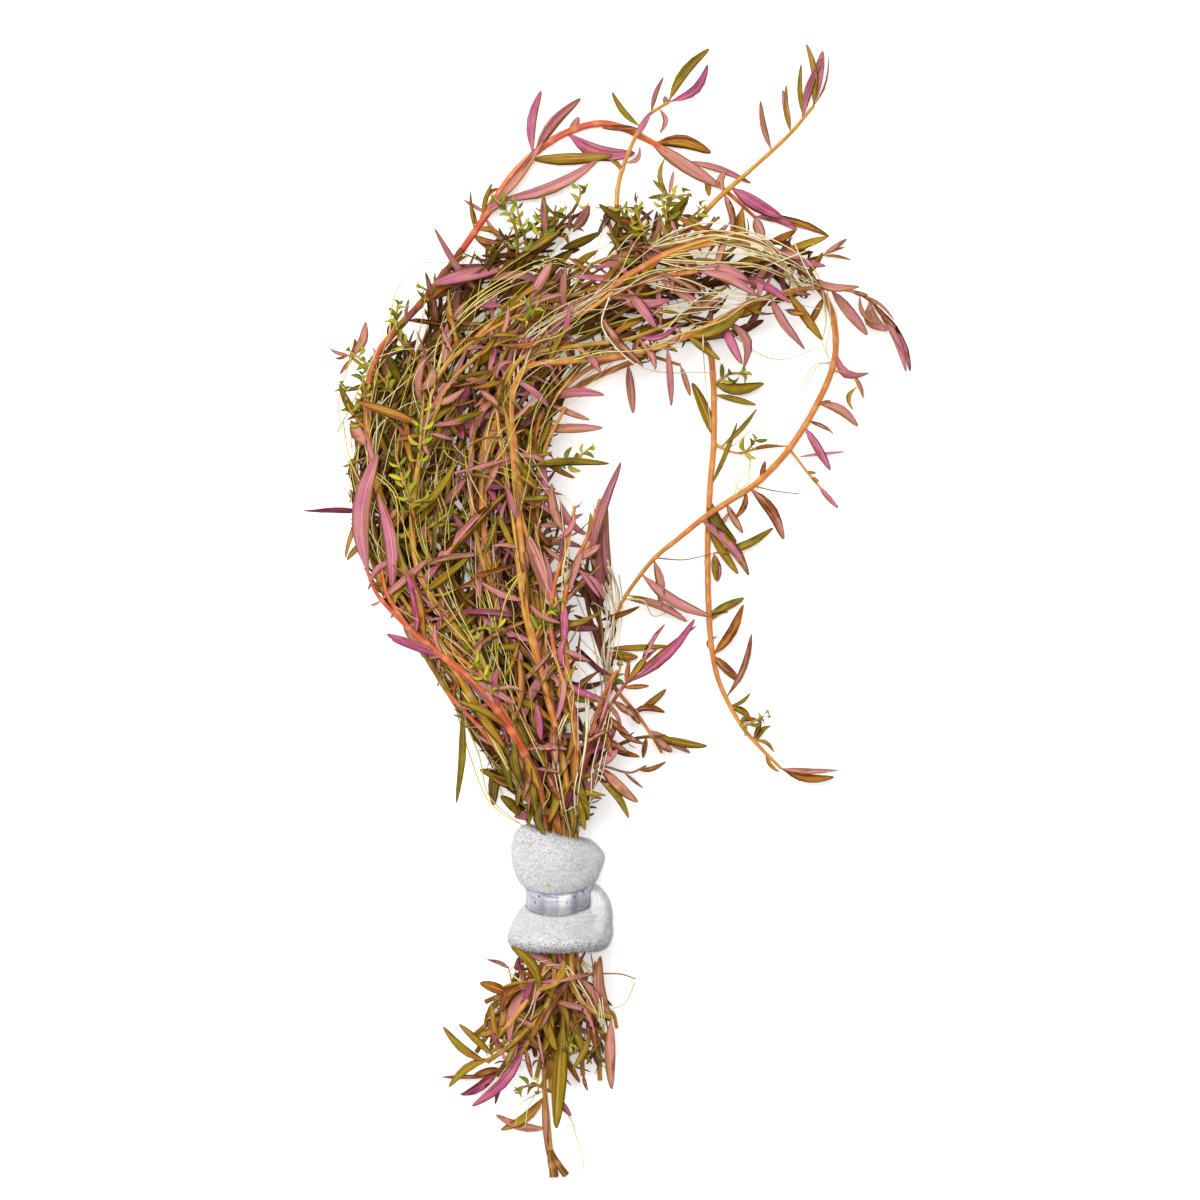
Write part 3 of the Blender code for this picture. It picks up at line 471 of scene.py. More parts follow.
def strip_mesh():
    """The band as a ring of small bevelled sections, in metres."""
    steps = 220
    start = -math.pi / 2 - strip_overlap / 2
    half = strip_width / 2
    inner = half - strip_bevel
    low, high = 0.2 * strip_thickness, 0.8 * strip_thickness
    section = [(-half, low), (-half, high), (-inner, strip_thickness), (inner, strip_thickness),
               (half, high), (half, low), (inner, 0.0), (-inner, 0.0)]
    shape = bmesh.new()
    rings = []
    for step in range(steps + 1):
        share = step / steps
        angle = start + share * (math.tau + strip_overlap)
        lift = end_lift * held((share - end_lift_from) / end_lift_share)
        dent = 0.07 * math.sin(11 * angle) + 0.05 * math.sin(23 * angle + 1)
        ring = []
        for side, depth in section:
            reach = (waist_radius + strip_clearance + lift + dent + depth) * squared(angle, 1)
            x = reach * math.cos(angle)
            height = bunch_height + reach * math.sin(angle)
            y = waist_y + side + waist_lean(x, height)
            ring.append(shape.verts.new(to_frame([(x, y, height)])[0]))
        rings.append(ring)
    for near, far in zip(rings, rings[1:]):
        for i in range(len(section)):
            shape.faces.new((near[i], near[i - 1], far[i - 1], far[i]))
    shape.faces.new(rings[0])
    shape.faces.new(reversed(rings[-1]))
    bmesh.ops.recalc_face_normals(shape, faces=shape.faces)
    for face in shape.faces:
        face.smooth = True
    return as_mesh("metal_band", shape)


metal = Finish("brushed_soft_metal", metallic=0.6)
metal_place = metal.place()
metal_x, metal_y, metal_z = metal.parts(metal_place)
brush_y = metal_y - metal_x * 0.05 - metal_x * metal_x * 30 + metal_z * 0.14 + 0.0085
brushed = metal.noise(metal.vector(metal_x * 60, brush_y * 2600, metal_z * 60), 1.0, 4.0, 0.65)
# Painted light: a bright highlight band across the top of the bend, darker reflection bands on either side
# of it, and pale bluish reflections towards both ends.
painted_highlight_band = 1 - abs(metal_x - 0.0012).above(0.0008, 0.0018)
painted_end_reflection = abs(metal_x).above(0.0044, 0.0060)
painted_dark_reflection = 1 - abs(abs(metal_x + 0.0001) - 0.0037).above(0.0003, 0.0010)
# Painted shade: dark lines along both long edges, where the band meets the sponge.
painted_rim_shade = abs(brush_y + 0.0003).above(0.0021, 0.0025)
bands = metal.noise(metal.vector(metal_x * 420, brush_y * 25, metal_z * 60), 1.0, 1.0, 0.4)
clouds = metal.noise(metal_place, 480.0, 3.0, 0.6)
scratches = metal.noise(metal.vector(metal_x * 260, brush_y * 1700, metal_z * 260), 1.0, 2.0)
pits = metal.add("ShaderNodeTexVoronoi", {"feature": "F1"}, {"Vector": metal_place, "Scale": 620.0})
dark = (1 - pits.above(0.12, 0.3)) * clouds.above(0.44, 0.56)
dark = dark.most((1 - scratches.above(0.27, 0.36)) * 0.7)
tone = metal.blend(bands.above(0.4, 0.6), (0.40, 0.40, 0.46), (0.56, 0.54, 0.58))
tone = metal.blend(painted_dark_reflection * 0.6, tone, (0.27, 0.27, 0.34))
tone = metal.blend(painted_end_reflection * 0.8, tone, (0.50, 0.55, 0.63))
tone = metal.blend(painted_highlight_band * 0.85, tone, (0.72, 0.67, 0.70))
tone = metal.blend(brushed.above(0.46, 0.6) * 0.7, tone, (0.33, 0.31, 0.36))
tone = metal.blend(painted_rim_shade * 0.7, tone, (0.14, 0.10, 0.12))
metal.give("Base Color", metal.blend(dark * 0.8, tone, (0.07, 0.06, 0.08)))
metal.give("Roughness", 0.44 + brushed * 0.2)
metal.bump(brushed - dark * 0.8, 0.35, 0.0002)
band_mesh = strip_mesh()
band_mesh.materials.append(metal.material)
band = new_piece("metal_band", band_mesh)
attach(band, "root")
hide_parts("metal_strip")

# The stems
# Living stems as thick as a match, tied side by side through the sponge. Each bends over in
# the same hook, with a paler swollen ring wherever a pair of leaves grew, and thins to its tip.

# Each stem: its row in the sponge, in which the stems lie from left to right as they are named,
# its radius, its route upwards from the sponge and its route down in the tail. A route is a list
# of places in millimetres from the pad's middle, with a height where it isn't the row's own.
STEMS = {
    "stem_left_red": dict(
        row="top", radius=1.3,
        route=[(-4.6, 25, 16.8), (-7.2, 31, 19), (-9.8, 36, 20.2), (-13.2, 41, 20.5), (-16.4, 45, 20.5),
               (-21.4, 50.2, 20.5), (-26, 54, 20.3), (-31, 58, 19.8), (-36, 62.5, 19),
               (-41, 68, 18.2), (-43.4, 73.5)],
        tail=[(-6.2, -23), (-10.5, -29), (-14, -33)],
    ),
    "stem_tan": dict(
        row="top", radius=0.95,
        route=[(-1.3, 25), (-3.6, 31), (-6.4, 36), (-9.8, 41), (-13.2, 46), (-17.8, 53),
               (-23, 60), (-28.6, 67), (-32.4, 76), (-33, 87), (-31.5, 98), (-29.5, 108),
               (-27, 117.5), (-20.2, 124.6), (-11.4, 130), (-6, 132)],
        tail=[(-1.4, -22.4), (-4, -28), (-10.6, -34.4), (-16.4, -38.6)],
    ),
    "stem_right_tip": dict(
        row="top", radius=1.0,
        route=[(1.8, 25), (-1, 39), (-6, 60), (-8.6, 82), (-10, 97), (-10.4, 113),
               (-7, 119.4), (0.4, 120.6, 17.4), (15, 122.2, 16), (24, 124.8, 14.6),
               (32, 127.9, 14), (43.5, 134.2, 13), (55, 137.6, 10), (62.5, 138, 7),
               (68.6, 137.2, 4.6), (73, 134.4, 2.4)],
        tail=[(0.8, -19, 13.8), (-1.4, -20.8, 14.8), (-4.4, -21.8, 15)],
    ),
    "stem_pale": dict(
        row="top", radius=0.95,
        route=[(4.8, 25), (3.4, 40), (1, 62), (2.6, 72), (7, 82), (9.4, 89.6)],
        tail=[(4.6, -23.8), (7.6, -26.8), (12, -28.4)],
    ),
    "stem_top_loop": dict(
        row="high", radius=1.15, low_tint=0.36,
        route=[(-8.2, 25), (-14, 36, 16.6), (-20.5, 46, 18.6), (-27.5, 58, 19), (-33.5, 70, 17.8),
               (-38.5, 84, 16), (-42.4, 98), (-43.6, 110), (-42, 121, 12.6), (-37, 128.4, 10.4),
               (-31.5, 134.6, 8.2), (-24.6, 143.8, 5.2), (-17.4, 154.4, 2.6),
               (-10.8, 164.6, 1.5), (-3.2, 171.6, 1.2), (4.6, 175.6, 1.1), (11.6, 176.4, 1.1),
               (21, 172.4, 1.1), (30, 167, 1.1), (38.6, 160.8, 1.1), (45, 155, 1.1)],
        tail=[(-8.4, -22), (-14.6, -24.6)],
    ),
    "stem_sprouting_right": dict(
        row="high", radius=0.85,
        route=[(-5, 25), (-9.8, 37), (-17.6, 51), (-25.4, 66), (-31.4, 82), (-34, 93),
               (-33, 102), (-30, 109), (-24.6, 115.6)],
        tail=[(-6.6, -25), (-12.4, -31.4)],
    ),
    "stem_inner_arch": dict(
        row="high", radius=0.95,
        route=[(-1.8, 25), (-7.6, 45), (-14, 66), (-17.2, 85), (-16.4, 101), (-8.6, 117.6),
               (-4.4, 124.8), (1.2, 130), (6, 133.4), (13.6, 136.8), (19.6, 139.6, 13.6),
               (26.6, 141.4, 12.6), (33, 142.4, 11.6), (38.4, 140.6, 10.8)],
        tail=[(-2.6, -25), (-6.4, -33), (-9.4, -38)],
    ),
    "stem_bay_tip": dict(
        row="high", radius=0.9,
        route=[(1.4, 25), (-1.6, 44), (-3.4, 64), (-5, 83), (-3.4, 100), (1.6, 110.6)],
        tail=[(1.2, -26), (0.8, -36)],
    ),
    "stem_magenta_shoot": dict(
        row="high", radius=0.85,
        route=[(4.8, 25), (7.6, 34), (11.4, 42), (15.2, 47.6), (20, 52.6)],
        tail=[(5.4, -24), (8.4, -34)],
    ),
    "stem_sprouting_left": dict(
        row="middle", radius=0.85,
        route=[(-7.2, 25), (-19, 41), (-27, 53), (-36, 66), (-42, 82), (-42, 100),
               (-39, 108), (-35.6, 116), (-33.4, 124)],
        tail=[(-8.4, -25), (-15.4, -31.6), (-19, -37)],
    ),
    "stem_top_right": dict(
        row="middle", radius=0.9,
        route=[(-3.6, 25), (-13.6, 46), (-23, 66), (-27, 84), (-26.4, 101), (-20.6, 117),
               (-9.4, 132.6), (7, 142.8), (21, 147.6, 8.8), (30, 152.2, 6.6),
               (36.4, 158.8, 5), (44, 165.6, 3.2), (53, 174, 1.4), (58.6, 180.6, 1.1)],
        tail=[(-5, -27), (-9.6, -37), (-12, -41)],
    ),
    "stem_right_arc": dict(
        row="middle", radius=1.0,
        route=[(-0.2, 25), (-8.4, 48), (-17, 71), (-18.4, 94), (-12.6, 112.6), (0.2, 128.8, 12.5),
               (14, 139, 15), (23.4, 144.6, 16), (32.4, 148, 15.4), (39.8, 149.6, 13.6),
               (46.2, 148, 11), (52.6, 144.6, 8), (59.8, 138, 4.4), (63, 132, 2.2),
               (63.4, 122, 1.1), (58.8, 110.8, 1.1), (53, 101.6, 1.1), (48.6, 96.6, 1.4),
               (44.6, 93, 2.4), (38.4, 89, 3.8), (33, 85.4, 4.3), (27.6, 81, 4.5),
               (22, 76.4, 4.7), (17.6, 71, 5), (14.4, 66, 5.2), (12.6, 60.6, 5.4)],
        tail=[(-0.8, -26), (-2.2, -38), (-1.8, -46)],
    ),
    "stem_lower_arch": dict(
        row="middle", radius=0.95,
        route=[(3.2, 25), (-1.4, 48), (-5.4, 70), (-8.6, 90), (-4.2, 108), (6, 119),
               (18.6, 122.6, 8.4), (27.8, 120.6, 6)],
        tail=[(2.8, -25), (3.6, -37)],
    ),
    "stem_left_edge": dict(
        row="low", radius=0.95,
        route=[(-8.6, 25), (-21.6, 40), (-34, 60), (-44, 79), (-46.6, 98), (-43.4, 110),
               (-42.6, 117.4, 5.2), (-48.2, 123, 3.6)],
        tail=[(-9.4, -22), (-17, -25.6)],
    ),
    "stem_green_top": dict(
        row="low", radius=0.9,
        route=[(-5.2, 25), (-17, 45), (-29, 68), (-33.8, 90), (-31.4, 110), (-23.6, 128),
               (-13, 142), (-3, 149.6), (3.2, 156)],
        tail=[(-7, -26), (-13.6, -34)],
    ),
    "stem_top_tip": dict(
        row="low", radius=0.9,
        route=[(-1.9, 25), (-11.6, 46), (-18.6, 69), (-21.6, 89), (-16, 108.6), (-4, 123),
               (9, 132), (16.6, 138.4), (16, 144.8), (13.6, 153, 5), (13.4, 160.6, 4.8),
               (15, 167, 4.4), (18, 174, 4.2), (20.8, 178.4, 2.8), (25.2, 181.4, 1.6)],
        tail=[(-2, -28), (-4, -38), (-5.2, -43)],
    ),
    "stem_under_arch": dict(
        row="low", radius=0.95,
        route=[(1.4, 25), (-5.8, 46), (-10.6, 67), (-12.4, 88), (-7.8, 105.6), (3, 118.6),
               (16.4, 128), (30, 131.6, 4.8), (37.4, 129.6, 4.2)],
        tail=[(0.6, -27), (0.4, -40), (0.2, -44)],
    ),
    "stem_dark_right": dict(
        row="low", radius=0.85,
        route=[(4.8, 24), (9.8, 31), (17, 34.8), (24.4, 35.6)],
        tail=[(6, -24), (9.4, -32), (12.4, -37)],
    ),
    "stem_left_under": dict(
        row="bottom", radius=0.9,
        route=[(-8.4, 22), (-19, 35), (-26, 47.6), (-33, 63), (-38.4, 80), (-38.4, 100),
               (-32.6, 118), (-22.4, 133.6), (-9, 140), (0.2, 141.6)],
        tail=[(-8.4, -23), (-15.6, -30), (-20, -34)],
    ),
    "stem_right_under": dict(
        row="bottom", radius=0.9,
        route=[(-4.8, 24), (-13.4, 44), (-21.4, 64), (-25, 84), (-22.6, 105), (-13, 120),
               (0.4, 129), (14, 134.4), (27.8, 136.8), (37, 140.6), (50, 143), (60.6, 146)],
        tail=[(-5.2, -26), (-10, -36), (-14.4, -43)],
    ),
    "stem_hanging": dict(
        row="bottom", radius=0.95,
        route=[(-1.4, 25), (-6.6, 45), (-10.4, 65), (-13.6, 85), (-8.6, 103.6), (3.6, 115.4),
               (18.6, 122.4), (29, 127.4), (34, 125.4), (35.4, 118.6), (35.6, 103),
               (34.8, 93.6), (34.2, 80), (34.4, 66), (35.2, 55), (37, 47.4), (41.8, 38),
               (46.4, 32.6), (51, 28)],
        tail=[(-1.2, -30), (-3.4, -42), (-2.6, -54), (-1.4, -65)],
    ),
    "stem_right_edge": dict(
        row="bottom", radius=0.9,
        route=[(3.4, 24), (8.6, 36), (11.4, 48), (9.6, 60), (8, 74), (10, 86)],
        tail=[(4.4, -24), (8.6, -34), (9.4, -44)],
    ),
}

# The tint of the stems of each colour, and the tints that their leaves are picked from.
PLANT_TINTS = {
    "plant_red": (0.82, (0.3, 0.45, 0.6, 0.68, 0.72, 0.8)),
    "plant_tan": (0.45, (0.15, 0.25, 0.42, 0.62, 0.7, 0.78)),
    "plant_orange": (0.6, (0.2, 0.34, 0.6, 0.67, 0.74, 0.8)),
    "plant_pink": (0.7, (0.3, 0.55, 0.62, 0.68, 0.74, 0.8)),
    "plant_olive": (0.25, (0.06, 0.15, 0.22, 0.28, 0.4, 0.6)),
    "plant_brown": (0.12, (0.06, 0.2, 0.36, 0.42, 0.5, 0.62)),
    "plant_magenta": (0.95, (0.25, 0.45, 0.66, 0.78, 0.84, 0.9)),
}

# Each row: its count from the bottom one, and its height in the mass and in the tail.
ROWS = {
    "bottom": (0, 1.2, 1.2),
    "low": (1, 5.5, 3.7),
    "middle": (2, 9.7, 6.2),
    "high": (3, 13.9, 8.7),
    "top": (4, 18.1, 11.2),
}
row_gap = 1.8
column_gap = 2.0
mass_fan_length = 45
tail_fan_length = 19
sponge_end = 15.0
bore_stem_radius = 0.78
tip_stem_radius = 0.5
thickening_length = 8
thinning_length = 40


def row_height(row, y):
    """The height of a row of stems: tight in the sponge, fanned out above and below it."""
    count, in_mass, in_tail = ROWS[row]
    in_sponge = bunch_height + (count - 2) * row_gap
    outside, fan_length = (in_mass, mass_fan_length) if y > 0 else (in_tail, tail_fan_length)
    share = held((abs(y) - sponge_end) / fan_length)
    return in_sponge + (outside - in_sponge) * math.sin(share * math.pi / 2)


def route_points(name):
    """Every route point of a stem from its cut end to its tip, through the sponge."""
    stem = STEMS[name]
    row = [other for other in STEMS if STEMS[other]["row"] == stem["row"]]
    across = (row.index(name) - (len(row) - 1) / 2) * column_gap
    in_sponge = [(across, y) for y in (-sponge_end - 2, -sponge_end + 3, sponge_end - 3, sponge_end + 2)]
    points = []
    for x, y, *height in stem["tail"][::-1] + in_sponge + stem["route"]:
        points.append(Vector((x, y, height[0] if height else row_height(stem["row"], y))))
    return points


def smooth_line(points, step=0.5):
    """Samples of a smooth curve through the points."""
    padded = [2 * points[0] - points[1]] + points + [2 * points[-1] - points[-2]]
    line = []
    for i in range(1, len(padded) - 2):
        before, start, end, after = padded[i - 1:i + 3]
        span = (end - start).length
        pull_in = (end - before) * span / ((start - before).length + span)
        pull_out = (after - start) * span / ((after - end).length + span)
        count = max(int(span / step), 1)
        for k in range(count):
            t = k / count
            line.append(start * (2 * t**3 - 3 * t**2 + 1) + pull_in * (t**3 - 2 * t**2 + t)
                        + end * (3 * t**2 - 2 * t**3) + pull_out * (t**3 - t**2))
    line.append(padded[-2].copy())
    return line


class Strand:
    """A centre line with its length measured along it."""

    def __init__(self, line):
        self.line = line
        self.lengths = [0.0]
        for near, far in zip(line, line[1:]):
            self.lengths.append(self.lengths[-1] + (far - near).length)
        self.total = self.lengths[-1]

    def index(self, length):
        return min(bisect.bisect_left(self.lengths, length), len(self.lengths) - 1)

    def point(self, length):
        return self.line[self.index(length)]

    def direction(self, length):
        i = self.index(length)
        return (self.line[min(i + 3, len(self.line) - 1)] - self.line[max(i - 3, 0)]).normalized()

    def nearest(self, x, y):
        """The point where the strand passes closest to a place, seen from above."""
        return min(self.line, key=lambda point: (point.x - x) ** 2 + (point.y - y) ** 2)


def stem_radius(strand, widest, length):
    """The radius at a length of a stem: thin in the sponge, widest above it, thin at its tip."""
    y = strand.point(length).y
    if y < sponge_end + 2:
        return bore_stem_radius
    near_sponge = min((y - sponge_end - 2) / thickening_length, 1)
    near_tip = min((strand.total - length) / thinning_length, 1)
    wide = bore_stem_radius + (widest - bore_stem_radius) * near_sponge
    return tip_stem_radius + (wide - tip_stem_radius) * near_tip


def value_layer(mesh, name, values, kind="FLOAT"):
    """Stores one value for each corner of a plain mesh under a name."""
    layer = mesh.attributes.new(name, kind, "POINT")
    key = "vector" if kind == "FLOAT_VECTOR" else "value"
    layer.data.foreach_set(key, [x for v in values for x in v] if kind == "FLOAT_VECTOR" else values)


# The outlines of the crowded parts of the bunch, seen from above: the mass, then the tail.
crowd_outlines = [
    [(-9, 15), (-16.6, 26.5), (-24, 43.7), (-32, 57.5), (-42.3, 69), (-47.6, 80.5), (-49.2, 96.6),
     (-48, 112.7), (-42.3, 125.4), (-32, 139), (-24, 146), (-13.6, 153), (0, 157.5), (14, 157.5),
     (27.8, 156.4), (37, 155), (50, 153), (60, 147), (60, 138), (52, 132), (41.6, 129),
     (32.4, 124), (20, 121), (9.4, 124), (2, 119), (-1, 112), (-2, 106), (-1, 97.8), (2, 89.7),
     (8, 86), (12.2, 76), (12.9, 57.5), (14, 43.7), (18.6, 34.5), (9.4, 20.7), (7, 13.8)],
    [(-10, -13), (12, -13), (13.6, -25), (12.4, -35), (9, -41), (6, -45), (0, -43), (-6.6, -39),
     (-13.6, -40), (-19.4, -39), (-16, -28), (-13.6, -21)]]


def in_crowd(point):
    """Whether a place, seen from above, is inside the outline of the mass or of the tail."""
    outline = crowd_outlines[0 if point.y > 0 else 1]
    inside = False
    for (x0, y0), (x1, y1) in zip(outline, outline[1:] + outline[:1]):
        if (y0 > point.y) != (y1 > point.y):
            if point.x < x0 + (point.y - y0) * (x1 - x0) / (y1 - y0):
                inside = not inside
    return inside


# Painted shade: below these tops of the mass and the tail, stems and leaves in the crowd darken over this
# depth in millimetres.
mass_top = 15
tail_top = 9
darkening_depth = 11


def painted_crowd_shade(point):
    """How deep a place lies in the crowd, for painted shade that darkens stems and leaves there, partly
    also the browner colour of older growth: 0 to 1.
    """
    top = mass_top if point.y > 0 else tail_top
    return held((top - point.z) / darkening_depth) if in_crowd(point) else 0.0


def tied_share(point):
    """How near a place is to the tie, where the stems are olive and brown: 0 to 1."""
    return 1 - held((abs(point.y) - 20) / 25)


tie_olive = 0.16
tail_tint_share = 0.55
magenta_from_tint = 0.75


def strands_mesh(name, strands):
    """Plain lines with their thickness, rings and tint, for the tree that grows tubes on them.

    Each strand is (points, thicknesses, ring strengths, tints), in millimetres.
    """
    corners, edges = [], []
    values = {"thickness": [], "ring": [], "tint": [], "along": [], "depth": []}
    for points, thick, ring, own_tints in strands:
        first = len(corners)
        corners += to_frame(points)
        edges += [(first + i, first + i + 1) for i in range(len(points) - 1)]
        values["thickness"] += [radius * mm for radius in thick]
        values["ring"] += ring
        values["along"] += Strand(points).lengths
        # The painted shade that each point gets deep in the crowd.
        values["depth"] += [painted_crowd_shade(point) for point in points]
        for point, tint in zip(points, own_tints):
            is_low = point.y < -sponge_end
            olive = tie_olive * tied_share(point) * (tint < magenta_from_tint)
            values["tint"].append(tint * tail_tint_share if is_low else tint - olive)
    mesh = bpy.data.meshes.new(name)
    mesh.from_pydata(corners, edges, [])
    for key, column in values.items():
        value_layer(mesh, key, column)
    return mesh


# The tree that turns each line into a closed round tube of its own thickness.
tube_growth = Growth("tube_along_line")
tube_sides = tube_growth.size("Sides", "NodeSocketInt")
tube_line = tube_growth.add("GeometryNodeMeshToCurve", None, {0: tube_growth.start})
tube_round = tube_growth.add(
    "GeometryNodeCurvePrimitiveCircle", None, {"Resolution": tube_sides, "Radius": 1.0})
tube_section = tube_growth.add(
    "GeometryNodeStoreNamedAttribute", {"data_type": "FLOAT_VECTOR", "domain": "POINT"},
    {0: tube_round, "Name": "section", "Value": tube_growth.add("GeometryNodeInputPosition")})
tube_skin = tube_growth.add(
    "GeometryNodeCurveToMesh", None,
    {0: tube_line, 1: tube_section, "Scale": tube_growth.named("thickness"), "Fill Caps": True})
tube_growth.end(tube_skin, tube_growth.size("Coat", "NodeSocketMaterial"))

stalk = Finish("stem_skin")
stalk.give("Specular IOR Level", 0.15)
stalk_tint, stalk_ring, stalk_along, stalk_painted_shade = (
    stalk.carried(name) for name in ("tint", "ring", "along", "depth"))
stalk_x, stalk_y = stalk.parts(stalk.carried("section", "Vector"))[:2]
stalk_streaks = stalk.noise(stalk.vector(stalk_x * 2.6, stalk_y * 2.6, stalk_along * 0.07), 1.0, 4.0, 0.6)
stalk_patch = stalk.noise(stalk.place(), 130.0, 3.0)
stalk_colour = stalk.ramp(stalk_tint + (stalk_patch - 0.5) * 0.34, [
    (0.0, (0.09, 0.035, 0.002)), (0.15, (0.20, 0.075, 0.004)), (0.3, (0.40, 0.23, 0.008)),
    (0.46, (0.60, 0.28, 0.045)), (0.62, (0.62, 0.21, 0.05)), (0.8, (0.64, 0.11, 0.04)),
    (0.95, (0.42, 0.05, 0.07))])
stalk_lit = stalk.blend((stalk_streaks - 0.51).above(0.0, 0.2) * 0.6, stalk_colour, (0.88, 0.52, 0.20))
stalk_dim = stalk.blend((0.48 - stalk_streaks).above(0.0, 0.2) * 0.75, stalk_lit, (0.16, 0.045, 0.002))
stalk_ringed = stalk.blend(stalk_ring * 0.35, stalk_dim, (0.80, 0.45, 0.20))
# Painted shade: deep in the crowd the stem colour darkens almost to black, mostly painted shade and partly
# the browner colour of older growth.
stalk.give("Base Color", stalk.blend(stalk_painted_shade * 0.8, stalk_ringed, (0.10, 0.026, 0.002)))
stalk.give("Roughness", 0.3 + stalk_streaks * 0.22)
stalk.bump(stalk_streaks + stalk_ring * 0.4, 0.4, 0.0003)

shoots_tried = 6
shoot_sample_mm = 0.8
fewest_shoot_samples = 18


def level_side(way):
    """The level direction at right angles to a way."""
    return Vector((0, 0, 1)).cross(way).normalized()


def every(spacing, first, end):
    """Evenly spaced places from the first one up to the end."""
    return [first + spacing * k for k in range(max(math.ceil((end - first) / spacing), 0))]


def taper(strand, first, last):
    """The radius at a length of a strand that thins evenly from its first radius to its last."""
    return lambda length: first + (last - first) * length / strand.total


def side_shoots(strand):
    """Thinner shoots that leave the stem at its rings and run on beside it."""
    shoots = []
    for attempt in range(shoots_tried):
        start = dice.choice(strand.places)
        reach = dice.uniform(35, 75)
        drift = dice.uniform(2, 6) * dice.choice((-1, 1))
        rise = dice.uniform(-3, 4)
        sway = dice.uniform(0, 6)
        line = []
        length = start
        while length < min(start + reach, strand.total):
            share = (length - start) / reach
            root = strand.point(length)
            beside = drift * math.sin(share * math.pi / 2) + 0.9 * math.sin(sway + share * 9) * share
            spot = root + level_side(strand.direction(length)) * beside + Vector((0, 0, rise * share))
            spot.z = held(spot.z, 0.8, 19.5)
            if root.y < sponge_end + 6 or not in_crowd(spot):
                break
            line.append(spot)
            length += shoot_sample_mm
        if len(line) > fewest_shoot_samples:
            shoot = Strand(line)
            shoot.places = every(6.5, 4, shoot.total)
            shoots.append(shoot)
    return shoots


ring_half_width = 0.7
ring_swell = 0.13


def ringed(strand, radius):
    """The thickness at each sample, swollen at the rings, and how much of a ring it is."""
    thick, ring = [], []
    for length in strand.lengths:
        near = min((abs(length - place) for place in strand.places), default=9)
        swell = math.exp(-(near / ring_half_width) ** 2)
        thick.append(radius(length) * (1 + ring_swell * swell))
        ring.append(swell)
    return thick, ring


# Thin twigs that leave the stems, and two flared cut ends, each with the places that it passes in
# the 1200-wide view, its first and last radius and its tint.
TWIGS = [
    ([(717, 444), (738, 453), (762, 447), (790, 446)], 0.3, 0.21, 0.5),
    ([(791, 451), (808, 473), (818, 485), (838, 507)], 0.32, 0.22, 0.6),
    ([(838, 372), (852, 374), (858, 386), (864, 398)], 0.3, 0.21, 0.45),
    ([(754, 489), (775, 491), (800, 494)], 0.16, 0.11, 0.15),
    ([(600, 680), (619, 694), (640, 718), (654, 739), (662, 753)], 0.5, 0.35, 0.62),
    ([(585, 768), (603, 767), (630, 772), (646, 766)], 0.34, 0.24, 0.3),
    ([(577, 950), (569, 970), (559, 980), (541, 985)], 0.55, 0.39, 0.4),
    ([(562, 960), (554, 988), (546, 1005), (536, 1018), (513, 1036), (490, 1053)], 0.6, 0.42, 0.5),
    ([(566, 955), (568, 976), (579, 996), (596, 1010), (612, 1012), (617, 1028)], 0.6, 0.42, 0.5),
    ([(572, 1000), (580, 1040), (583, 1076)], 0.75, 0.52, 0.25),
    ([(583, 1060), (598, 1044), (604, 1024)], 0.35, 0.24, 0.3),
    ([(560, 990), (570, 1020), (578, 1046)], 0.8, 0.56, 0.2),
    ([(596, 970), (609, 973), (622, 974), (636, 979)], 0.2, 0.14, 0.3),
    ([(660, 562), (682, 560), (703, 556), (714, 553)], 0.16, 0.11, 0.2),
    ([(520, 990), (513, 984), (510, 974), (508, 966)], 0.2, 0.14, 0.4),
    ([(513, 423), (518, 470), (522, 521), (540, 560)], 0.75, 0.52, 0.56),
    ([(435, 601), (455, 630), (478, 659), (492, 690)], 0.85, 0.59, 0.44),
    ([(560, 366), (600, 360), (640, 352), (667, 345)], 0.6, 0.42, 0.55),
    ([(632, 282), (665, 276), (698, 271)], 0.7, 0.49, 0.62),
    ([(668, 236), (667, 214), (669, 195)], 0.4, 0.28, 0.5),
    ([(560, 325), (580, 314), (597, 304), (613, 292)], 0.6, 0.42, 0.5),
    ([(550, 1150, 1.4), (551, 1160, 1.4), (553, 1168, 1.4), (554, 1177, 1.4)], 0.75, 1.1, 0.3),
    ([(551, 1150, 1.4), (556, 1160, 1.6), (561, 1168, 1.6), (566, 1175, 1.4)], 0.45, 0.9, 0.12),
]

photo_pixels = 1200
tail_rest_height = 8.0
crowd_rest_height = 17.0
board_rest_height = 1.5


def on_view_grid(px, py, height=board_rest_height):
    """Millimetres from the pad's middle for a place in the 1200-wide view, at a height in mm."""
    scale = view_width / photo_pixels * (camera_height - height * mm) / (camera_height - sharp_height) / mm
    x = view_centre[0] / mm + (px - photo_pixels / 2) * scale
    y = view_centre[1] / mm + rest_y + (photo_pixels / 2 - py) * scale
    return x, y


def nearest_stem(x, y, lift=0.3):
    """The stem nearest to a place seen from above, and its point there; lift favours high ones."""
    best = None
    for name, stem in stems.items():
        for strand in [stem] + stem.twigs:
            spot = strand.nearest(x, y)
            cost = (spot.x - x) ** 2 + (spot.y - y) ** 2 - lift * spot.z
            if best is None or cost < best[0]:
                best = (cost, name, spot)
    return best[1], best[2].copy()


def resting_height(x, y):
    """How high a loose twig or leaf lies at a place: on the crowd, or on the board beside it."""
    if y < 0:
        return tail_rest_height
    return crowd_rest_height if in_crowd(Vector((x, y, 0))) else board_rest_height


def seen_at(px, py, height=None):
    """Where a place in the view lies; with no height given, at that of what lies there."""
    if height is None:
        height = resting_height(*on_view_grid(px, py))
    return Vector((*on_view_grid(px, py, height), height))


